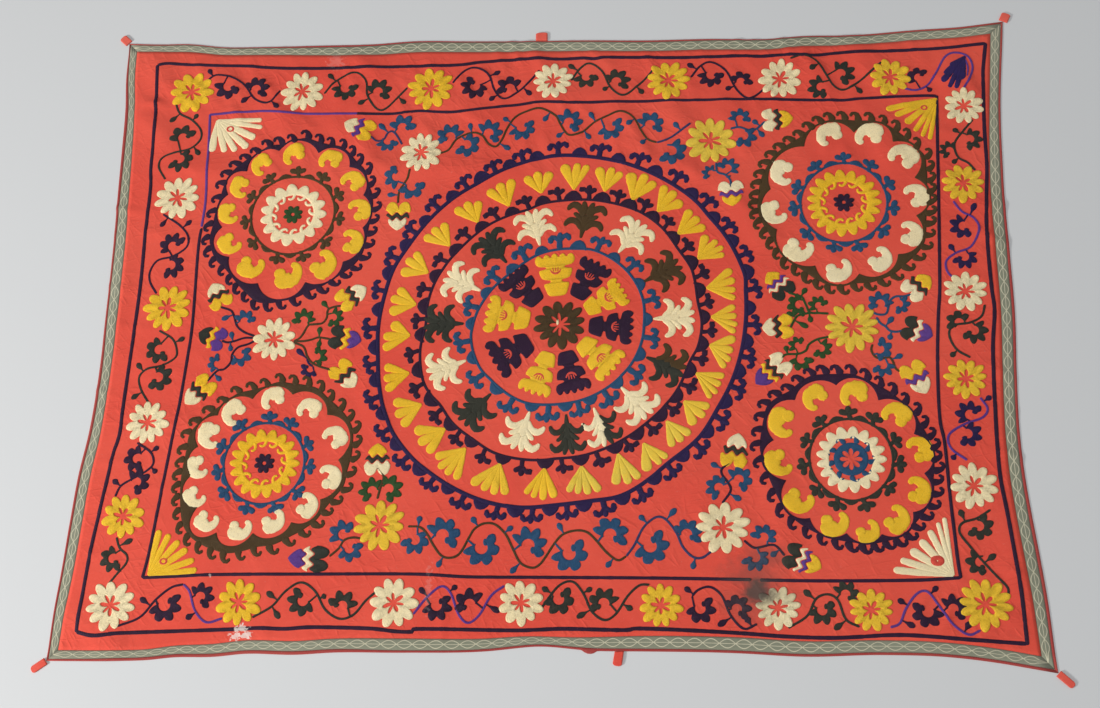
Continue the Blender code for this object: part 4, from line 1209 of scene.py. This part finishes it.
# Field stems: stem thread, leaf thread, points, sprays, leaves
fieldVines = (
    ("olive", "teal", ((-183, 291), (-167, 298), (-154, 317), (-131, 327), (-115, 322), (-104, 307), (-92, 302), (-83, 314),
                       (-76, 332), (-64, 352), (-47, 362), (-24, 367), (0, 354), (7, 341), (16, 325), (25, 319), (43, 324),
                       (61, 340), (82, 351), (100, 358), (114, 354), (125, 343), (134, 325), (145, 309), (159, 303)),
     ((-166, 321, -20, 1, 250), (-139, 306, 120, -1, 280), (-104, 325, 180, -1, 250), (-52, 334, 170, 1, 240),
      (22, 341, 190, -1, 265), (87, 331, 170, 1, 250), (149, 334, 200, -1, 255), (181, 287, 100, -1, 255, 1.1)),
     ((-134, 337), (-77, 348), (-75, 300), (-15, 350), (57, 352), (8, 320), (52, 317), (117, 338), (139, 305))),
    ("blue", "teal", ((159, 303), (175, 308), (193, 320), (211, 334)), (), ((189, 331),)),
    ("blue", "teal", ((-242, 309), (-252, 326), (-260, 333), (-267, 329), (-272, 319), (-283, 316), (-293, 324)),
     ((-243, 339, 205, -1, 230), (-265, 316, 170, 1, 190, 0.85)), ((-277, 342),)),
    ("olive", "teal", ((-226, 265), (-229, 250), (-234, 241), (-241, 227), (-242, 207)),
     ((-247, 253, 300, -1, 215, 0.9), (-221, 236, 160, 1, 230)), ((-253, 222),)),
    ("teal", "teal", ((272, 323), (286, 325), (300, 320), (311, 322), (325, 335)),
     ((287, 340, 220, -1, 250, 0.8), (292, 310, 80, -1, 225, 0.9)), ((311, 333), (319, 314))),
    ("teal", "teal", ((250, 266), (252, 250), (264, 245), (272, 234), (270, 222)),
     ((267, 257, 290, 1, 250, 0.8), (242, 247, 40, 1, 200, 0.65)), ((268, 237),)),
    ("olive", "teal", ((-192, -304), (-175, -305), (-164, -314), (-154, -330), (-141, -346), (-127, -349), (-114, -342),
                       (-102, -319), (-95, -307), (-82, -299), (-66, -300), (-50, -314), (-39, -334), (-27, -355), (-11, -362),
                       (0, -358), (9, -346), (20, -328), (32, -314), (50, -308), (66, -310), (79, -321), (95, -339),
                       (111, -350), (123, -344)),
     ((-181, -324, 80, -1, 270, 0.95), (-140, -317, 190, -1, 250, 1.2), (-83, -334, 150, 1, 280, 1.2),
      (-16, -330, 190, -1, 250, 1.2), (43, -341, 150, 1, 280, 1.2), (100, -314, 200, -1, 250, 1.2)),
     ((-176, -295), (-96, -295), (-45, -307), (-143, -357), (-36, -365), (28, -303), (99, -355))),
    ("blue", "teal", ((123, -344), (134, -328), (145, -305), (157, -292), (168, -287), (179, -292), (193, -310), (202, -330),
                      (216, -344), (229, -345), (242, -336)),
     ((157, -329, 170, 1, 270, 1.2), (208, -312, 190, -1, 240)), ((145, -290), (188, -280), (217, -355))),
    ("olive", "teal", ((-254, -324), (-270, -321), (-284, -325), (-291, -337), (-304, -349)),
     ((-286, -316, 250, -1, 225, 0.95), (-275, -337, 180, 1, 220, 0.9)), ()),
    ("olive", "leaf", ((-240, -264), (-236, -244), (-233, -230), (-243, -217)),
     ((-249, -252, 10, 1, 250, 0.9), (-224, -249, 160, -1, 265, 0.95)), ()),
    ("purple", "teal", ((287, -320), (300, -330), (311, -329), (323, -326), (332, -328), (343, -341)),
     ((314, -315, 300, 1, 250, 0.85), (302, -344, 60, -1, 240, 0.9)), ((329, -338),)),
    ("purple", "teal", ((257, -267), (269, -249), (265, -237), (257, -226), (257, -217), (268, -209)),
     ((252, -245, 20, 1, 250, 0.85), (281, -233, 180, -1, 265, 0.9)), ((247, -212), (278, -259))),
    ("purple", "teal", ((-449, -11), (-465, -5), (-478, 5), (-485, 22), (-491, 31), (-508, 37)),
     ((-467, 13, 190, -1, 200, 0.85),), ((-498, 19),)),
    ("purple", "teal", ((-451, -14), (-465, -14), (-480, -19), (-491, -21), (-500, -18)), (), ((-485, -10), (-485, -29))),
    ("purple", "teal", ((-447, -18), (-458, -24), (-473, -29), (-481, -40), (-482, -53), (-491, -64), (-502, -67), (-517, -85)),
     ((-469, -41, 190, 1, 230, 0.85), (-502, -55, 270, -1, 190, 0.75)), ((-499, -78),)),
    ("olive", "leaf", ((-387, -20), (-376, -13), (-367, 5), (-358, 7), (-345, 9), (-339, 18), (-338, 31), (-327, 36), (-318, 37)),
     ((-375, 14, 320, 1, 250, 0.85), (-329, 18, 120, -1, 250, 0.75)), ((-344, 40),)),
    ("olive", "leaf", ((-387, -20), (-371, -20), (-358, -17), (-349, -14), (-331, -17)), (), ((-348, -4), (-347, -23))),
    ("olive", "leaf", ((-387, -22), (-371, -29), (-364, -44), (-356, -54), (-342, -61), (-329, -65), (-319, -72)),
     ((-349, -44, 250, 1, 225, 0.75),), ()),
    ("navy", "navy", ((-364, -48), (-360, -56), (-354, -60)), ((-358, -64, 350, -1, 215, 0.7),), ((-376, -37),)),
    ("leaf", "leaf", ((413, 18), (399, 19), (386, 20), (381, 30), (375, 44), (368, 47), (355, 52)),
     ((371, 32, 60, 1, 250, 0.85), (399, 31, 250, -1, 250, 0.7)), ((378, 53),)),
    ("leaf", "leaf", ((390, 20), (378, 18), (368, 15), (363, 8), (357, -4)), (), ((358, 17), (386, 11), (377, 0))),
    ("leaf", "leaf", ((412, -18), (395, -22), (383, -30), (379, -39), (368, -44), (350, -45), (343, -51)),
     ((368, -31, 250, -1, 215, 0.65), (400, -36, 100, -1, 250, 0.75), (372, -53, 150, 1, 230, 0.8)), ((351, -38),)),
    ("teal", "teal", ((477, 19), (484, 16), (495, 17), (499, 28), (502, 38), (510, 44), (521, 44), (532, 47)),
     ((487, 33, 320, 1, 265, 0.85), (514, 32, 80, -1, 200, 0.75)), ()),
    ("teal", "teal", ((481, 12), (486, 3), (494, -3), (499, -9), (508, -11), (519, -9)), (), ((501, 7), (500, -17))),
    ("olive", "teal", ((474, -30), (472, -39), (477, -49), (486, -52), (497, -50), (502, -57), (506, -68), (517, -74)),
     ((484, -37, 230, 1, 230, 0.85), (487, -62, 30, -1, 200, 0.8)), ((510, -49),)),
)
for stemThread, leafThread, points, sprays, leaves in fieldVines:
    vine(stemThread, leafThread, points, sprays, leaves)

# Corner fans: thread, apex, tips, then the eye's place, radius and open middle
cornerFans = (
    ("ivory", (-549, 360), ((-474, 358), (-472, 345), (-482, 326), (-493, 309), (-512, 303), (-530, 302), (-552, 303)), (-525, 343, 6.6, 2.4)),
    ("gold", (586, 368), ((508, 351), (521, 340), (536, 326), (549, 312), (560, 303), (571, 298)), (565, 352, 5.4, 1.8)),
    ("gold", (-571, -380), ((-498, -371), (-504, -356), (-516, -340), (-530, -328), (-546, -318), (-562, -312)), (-550, -359, 6.2, 2.2)),
    ("ivory", (571, -367), ((490, -359), (500, -345), (514, -331), (528, -317), (541, -303), (553, -292), (562, -285)), (550, -346, 9.0, 0.3)),
)
for thread, apex, tips, (x, y, size, hole) in cornerFans:
    fan(thread, apex, tips, split=0.46, tipShare=0.62)
    angle = evenAngles(24)
    ring("red", (x, y), np.full_like(angle, hole), size * (1 + 0.12 * np.cos(2 * angle)), level=0.4)


# Every band of one thread joined in one mesh and laid on the cloth
def sewDown(thread, bands):
    points, heights, shades, quads, tris, quadUvs, triUvs = [], [], [], [], [], [], []
    base = 0
    for places, rise, uv, closed, shade in bands:
        rows, columns = rise.shape
        column = np.arange(columns)
        beside = (column + 1) % columns
        if closed:
            ringIndex = base + np.arange(rows * columns).reshape(rows, columns)
            after = np.roll(ringIndex, -1, axis=0)
            uvAfter = np.roll(uv, -1, axis=0)
            uvAfter[-1, :, 0] = uv[-1, :, 0] + (uv[1, 0, 0] - uv[0, 0, 0])
            flat, level = places.reshape(-1, 2), rise.ravel()
        else:
            body = rows - 2
            ringIndex = base + 1 + np.arange(body * columns).reshape(body, columns)
            first, last = base, base + 1 + body * columns
            flat = np.concatenate((places[:1, 0], places[1:-1].reshape(-1, 2), places[-1:, 0]))
            level = np.concatenate((rise[0, :1], rise[1:-1].ravel(), rise[-1, :1]))
            tris += [
                np.stack((np.full(columns, first), ringIndex[0, column], ringIndex[0, beside]), -1)[:, ::-1],
                np.stack((np.full(columns, last), ringIndex[-1, beside], ringIndex[-1, column]), -1)[:, ::-1],
            ]
            for end, near in ((0, 1), (-1, -2)):
                tip = np.repeat(uv[end, :1], columns, 0)
                pair = (uv[near, column], uv[near, beside]) if end == 0 else (uv[near, beside], uv[near, column])
                triUvs.append(np.stack((tip, *pair), 1)[:, ::-1])
            after, uvAfter = ringIndex[1:], uv[2:-1]
            ringIndex, uv = ringIndex[:-1], uv[1:-2]
        quads.append(np.stack((
            ringIndex[:, column], ringIndex[:, beside], after[:, beside], after[:, column],
        ), -1).reshape(-1, 4))
        quadUvs.append(np.stack((
            uv[:, column], uv[:, beside], uvAfter[:, beside], uvAfter[:, column],
        ), 2).reshape(-1, 4, 2))
        points.append(flat)
        heights.append(level)
        shades.append(np.full(len(level), shade))
        base += len(level)
    flat = np.concatenate(points) * mm
    level = np.concatenate(heights) * mm
    spots = framed(flat[:, 0], flat[:, 1], clothTop(flat[:, 0], flat[:, 1]) + level)
    return putMesh(
        f"{thread}Stitching", spots, np.concatenate(quads),
        np.concatenate(tris) if tris else None,
        np.concatenate(quadUvs) * mm,
        np.concatenate(triUvs) * mm if tris else None,
        np.concatenate(shades),
    )


# Thread colours: main, alternative (picked by the shade attribute), faded
threads = {
    "gold": ((0.94, 0.52, 0.012), (0.78, 0.60, 0.09), (0.94, 0.58, 0.035)),
    "ivory": ((0.98, 0.79, 0.44), (0.84, 0.72, 0.38), (1.0, 0.85, 0.54)),
    "purple": ((0.020, 0.004, 0.022), (0.020, 0.010, 0.060), (0.036, 0.008, 0.036)),
    "navy": ((0.016, 0.006, 0.052), (0.030, 0.016, 0.14), (0.028, 0.012, 0.075)),
    "violet": ((0.110, 0.034, 0.24), (0.10, 0.05, 0.25), (0.14, 0.06, 0.27)),
    "blue": ((0.030, 0.035, 0.11), (0.03, 0.05, 0.12), (0.05, 0.05, 0.13)),
    "teal": ((0.014, 0.064, 0.145), (0.014, 0.070, 0.13), (0.025, 0.090, 0.18)),
    "black": ((0.022, 0.024, 0.016), (0.030, 0.026, 0.016), (0.045, 0.042, 0.026)),
    "olive": ((0.066, 0.034, 0.008), (0.050, 0.032, 0.010), (0.085, 0.048, 0.014)),
    "leaf": ((0.018, 0.060, 0.010), (0.03, 0.07, 0.02), (0.030, 0.080, 0.018)),
    "red": ((0.72, 0.070, 0.042), (0.72, 0.055, 0.040), (0.80, 0.09, 0.06)),
}


def threadMaterial(name, main, alternative, faded):
    sheenTint = tuple(0.5 + 0.5 * value for value in main)
    material, tree, shader = startMaterial(name, 0.72, 0.06, sheenTint)
    links = tree.nodes.new("ShaderNodeGroup")
    links.node_tree = chainStitch
    pick = tree.nodes.new("ShaderNodeAttribute")
    pick.attribute_name = "shade"
    colour = mixColour(tree, pick.outputs["Fac"], main, alternative)
    # Painted shadow: the colour is darkened towards this where the chain stitch is low, between its links. The same
    # dark colour also flecks the thread at random as grain.
    shadowAndGrainColour = tuple(0.42 * value for value in main)
    colour = mixColour(tree, sums(tree, "MULTIPLY", links.outputs["ShadedGap"], 0.6), colour, shadowAndGrainColour)
    where = tree.nodes.new("ShaderNodeTexCoord")
    batch = noiseOf(tree, where.outputs["Object"], 130, 3, 0.6)
    colour = mixColour(tree, smoothStep(tree, batch, 0.45, 0.75, 0, 0.45), colour, faded)
    grain = noiseOf(tree, where.outputs["Object"], 430, 2, 0.6)
    colour = mixColour(tree, smoothStep(tree, grain, 0.48, 0.72, 0, 0.34), colour, shadowAndGrainColour)
    colour = aged(tree, colour, faded, 0.25)
    tree.links.new(colour, shader.inputs["Base Color"])
    tree.links.new(smoothStep(tree, links.outputs["ShadedGap"], 0, 1, 0.62, 0.9), shader.inputs["Roughness"])
    bump(tree, shader, links.outputs["Height"], 0.9, 0.0007)
    return material


for thread, bands in stitched.items():
    piece = sewDown(thread, bands)
    piece.data.materials.append(threadMaterial(f"{thread}Thread", *threads[thread]))
    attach(piece, "root")
    faces = sum(len(polygon) - 2 for polygon in (quad.vertices for quad in piece.data.polygons))
    print(thread, "stitching:", len(bands), "bands,", faces, "triangles")

# Braid: a woven strip with rounded edges, its cream threads laid on it
braidSize = dict(thick=0.0018, gap=0.0003, stepsAlong=320, stepsAcross=8, wide=0.016, cross=0.0225, swing=0.0055)


# A strip between two distances from the sewn line, its face domed across by a power curve
def sideStrip(name, side, inner, outer, thick, stepsAlong, stepsAcross, dome):
    share = np.linspace(0, 1, stepsAlong + 1)
    near, far = rail(side, share, inner(share)), rail(side, share, outer(share))
    v = np.linspace(0, 1, stepsAcross + 1)
    points = near[:, None] + (far - near)[:, None] * v[None, :, None]
    x, y = points[..., 0], points[..., 1]
    if (sides[side][2] and sides[side][3] > 0) or (not sides[side][2] and sides[side][3] < 0):
        x, y, v = x[:, ::-1], y[:, ::-1], v[::-1]
    x, y = x[:, ::-1], y[:, ::-1]
    run = np.concatenate(([0], np.cumsum(np.linalg.norm(np.diff(near, axis=0), axis=1))))
    across = np.tile(braidSize["wide"] * v[::-1], (stepsAlong + 1, 1))
    low = lift(x, y)
    high = low + thick * (1 - dome * abs(2 * v - 1) ** 4)[None, :]
    uv = np.stack((np.repeat(run[:, None], len(v), 1), across), -1)
    return closedSheet(name, framed(x, y, low), framed(x, y, high), uv)


def widthsAt(side, share):
    return curveThrough(sides[side][1], share, 1), curveThrough(sides[side][1], share, 2)


# A bit of the edging that has come loose on the bottom side
def looseFold(side, share):
    return 0.0045 * np.exp(-(((share - 0.558) / 0.006) ** 4)) * (side == "bottom")


# Cream silk on the braid, from its UV map: two sine lines that cross, and a straight one between
def braidSilk(tree):
    uv = tree.nodes.new("ShaderNodeUVMap")
    uv.uv_map = "UVMap"
    split = tree.nodes.new("ShaderNodeSeparateXYZ")
    tree.links.new(uv.outputs["UV"], split.inputs[0])
    swing = sums(tree, "SINE", sums(tree, "MULTIPLY", split.outputs["X"], math.pi / braidSize["cross"]))
    aside = sums(tree, "SUBTRACT", split.outputs["Y"], braidSize["wide"] / 2)
    lines = [
        sums(tree, "ABSOLUTE", sums(tree, "MULTIPLY_ADD", swing, sign * braidSize["swing"], aside))
        for sign in (-1, 0, 1)
    ]
    nearest = sums(tree, "MINIMUM", sums(tree, "MINIMUM", lines[0], lines[2]), sums(tree, "ADD", lines[1], 0.0002))
    return smoothStep(tree, nearest, 0.00095, 0.00045)


print("sewing the braid")
braidMaterial = cottonMaterial(
    "braidWeave", (0.225, 0.230, 0.160), (0.28, 0.285, 0.21), (0.060, 0.066, 0.046), 0.0011, 0.4,
)
braidTree = braidMaterial.node_tree
silk = braidSilk(braidTree)
braidShader = braidTree.nodes["Principled BSDF"]
braidBump = braidShader.inputs["Normal"].links[0].from_node
ground = braidShader.inputs["Base Color"].links[0].from_socket
braidTree.links.new(mixColour(braidTree, silk, ground, (0.58, 0.54, 0.38)), braidShader.inputs["Base Color"])
weaveHeight = braidBump.inputs["Height"].links[0].from_socket
braidTree.links.new(sums(braidTree, "MULTIPLY_ADD", silk, 0.7, weaveHeight), braidBump.inputs["Height"])
braidPieces, edgingPieces = [], []
edgingMaterial = cottonMaterial("edgingCotton", (0.36, 0.045, 0.040), (0.42, 0.08, 0.06), (0.16, 0.015, 0.015), 0.0006)
for side in sides:
    braidStrip = sideStrip(
        f"{side}Braid", side,
        lambda s: np.full_like(s, braidSize["gap"]),
        lambda s: braidSize["gap"] + widthsAt(side, s)[0],
        braidSize["thick"], braidSize["stepsAlong"], braidSize["stepsAcross"], 0.45,
    )
    braidStrip.data.materials.append(braidMaterial)
    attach(braidStrip, "root")
    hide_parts(f"braid_{side}")
    edgingStrip = sideStrip(
        f"{side}Edging", side,
        lambda s: 2 * braidSize["gap"] + widthsAt(side, s)[0],
        lambda s: 2 * braidSize["gap"] + sum(widthsAt(side, s)) + looseFold(side, s),
        0.0014, braidSize["stepsAlong"], 4, 0.6,
    )
    edgingStrip.data.materials.append(edgingMaterial)
    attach(edgingStrip, "root")
    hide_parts(f"edging_{side}")
    braidPieces.append(braidStrip)
    edgingPieces.append(edgingStrip)

# Tabs: name, side, share along it, heading in degrees, length, width
tabs = (
    ("tab_top_left", "top", 0.0, 137, 0.0175, 0.0125), ("tab_top_middle", "top", 0.491, 92, 0.0150, 0.0185),
    ("tab_top_right", "top", 1.0, 66, 0.0150, 0.0135), ("tab_bottom_left", "bottom", 0.0, 216, 0.0240, 0.0105),
    ("tab_bottom_middle", "bottom", 0.588, 262, 0.0200, 0.0125),
    ("tab_bottom_right", "bottom", 1.0, 318, 0.0250, 0.0095),
)
tabSize = dict(tape=0.0007, low=0.00045, high=0.00175, rounding=0.12)
tapeMaterial = cottonMaterial("tapeCotton", (0.72, 0.065, 0.040), (0.80, 0.17, 0.12), (0.42, 0.02, 0.015), 0.0007)


# A tape out from its root, round a fold and back over itself, pressed flat: a sheet on both sides
# of a line that runs out, turns half a circle and returns
def foldedTab(name, side, share, heading, length, width):
    at = np.array([share])
    out = 3 * braidSize["gap"] + float(sum(widthsAt(side, at))[0])
    way = np.array((math.cos(math.radians(heading)), math.sin(math.radians(heading))))
    across = rootAcross = np.array((-way[1], way[0]))
    if share in (0.0, 1.0):
        root = seam(side, at)[0] + cornerWay(side, int(share)) * out
    else:
        normal = outwards(side, at)[0]
        root = seam(side, at)[0] + normal * out
        rootAcross = np.array((-normal[1], normal[0]))
    bend = (tabSize["high"] - tabSize["low"]) / 2
    phi = np.linspace(-math.pi / 2, math.pi / 2, 9)
    run = np.linspace(0, 1, 12)
    along = np.concatenate((run, np.ones(9), run[::-1]))
    ahead = np.concatenate((np.zeros(12), np.cos(phi), np.zeros(12)))
    upwards = np.concatenate((np.full(12, -1.0), np.sin(phi), np.ones(12)))
    v = np.linspace(0, 1, 9)
    aside = ((v - 0.5) * width)[None, :, None]
    reach = length * (1 - tabSize["rounding"] * (2 * v - 1) ** 4) - bend - tabSize["tape"] / 2
    start = root + rootAcross * aside
    end = root + way * reach[None, :, None] + across * aside
    line = start + (end - start) * along[:, None, None]
    grids = []
    for push in (tabSize["tape"] / 2, -tabSize["tape"] / 2):
        flat = line + way * (ahead * (bend + push))[:, None, None]
        high = (tabSize["low"] + tabSize["high"]) / 2 + upwards * (bend + push)
        slack = 0.00025 * np.sin(math.pi * along) * (upwards > 0)
        grids.append(framed(flat[..., 0], flat[..., 1], np.tile((high + slack)[:, None], (1, len(v)))))
    return closedSheet(name, *grids)


for name, side, share, heading, length, width in tabs:
    words = name.split("_")
    tab = foldedTab(f"{words[1]}{words[2].capitalize()}Tab", side, share, heading, length, width)
    tab.data.materials.append(tapeMaterial)
    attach(tab, "root")
    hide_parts(name)

stage = dict(size=30.0)
floorMesh = bpy.data.meshes.new("floor")
half = stage["size"] / 2
floorMesh.from_pydata([(-half, -half, 0), (half, -half, 0), (half, half, 0), (-half, half, 0)], [], [(0, 1, 2, 3)])
floor = bpy.data.objects.new("floor", floorMesh)
bpy.context.scene.collection.objects.link(floor)
floorPaint = bpy.data.materials.new("paleFloor")
floorPaint.use_nodes = True
floorPaint.node_tree.nodes["Principled BSDF"].inputs["Base Color"].default_value = (0.62, 0.62, 0.61, 1)
floorPaint.node_tree.nodes["Principled BSDF"].inputs["Roughness"].default_value = 0.9
floorMesh.materials.append(floorPaint)

# Lights: a broad soft one overhead and a lower one that shows the puckers
lights = (
    ("overhead", (0.0, -0.1, 3.2), 2.4, 32.5, (0, 0, 0)),
    ("side", (-3.6, -2.2, 1.75), 0.6, 185, (0, 0, 0)),
)
for name, place, size, power, aim in lights:
    lampData = bpy.data.lights.new(name, "AREA")
    lampData.size = size
    lampData.energy = power
    lamp = bpy.data.objects.new(name, lampData)
    bpy.context.scene.collection.objects.link(lamp)
    lamp.location = place
    direction = np.array(aim, float) - place
    lamp.rotation_euler = (
        math.acos(-direction[2] / np.linalg.norm(direction)),
        0,
        math.atan2(direction[1], direction[0]) - math.pi / 2,
    )
world = bpy.data.worlds.new("room")
world.use_nodes = True
world.node_tree.nodes["Background"].inputs[0].default_value = (0.9, 0.94, 1.0, 1)
world.node_tree.nodes["Background"].inputs[1].default_value = 0.36
bpy.context.scene.world = world
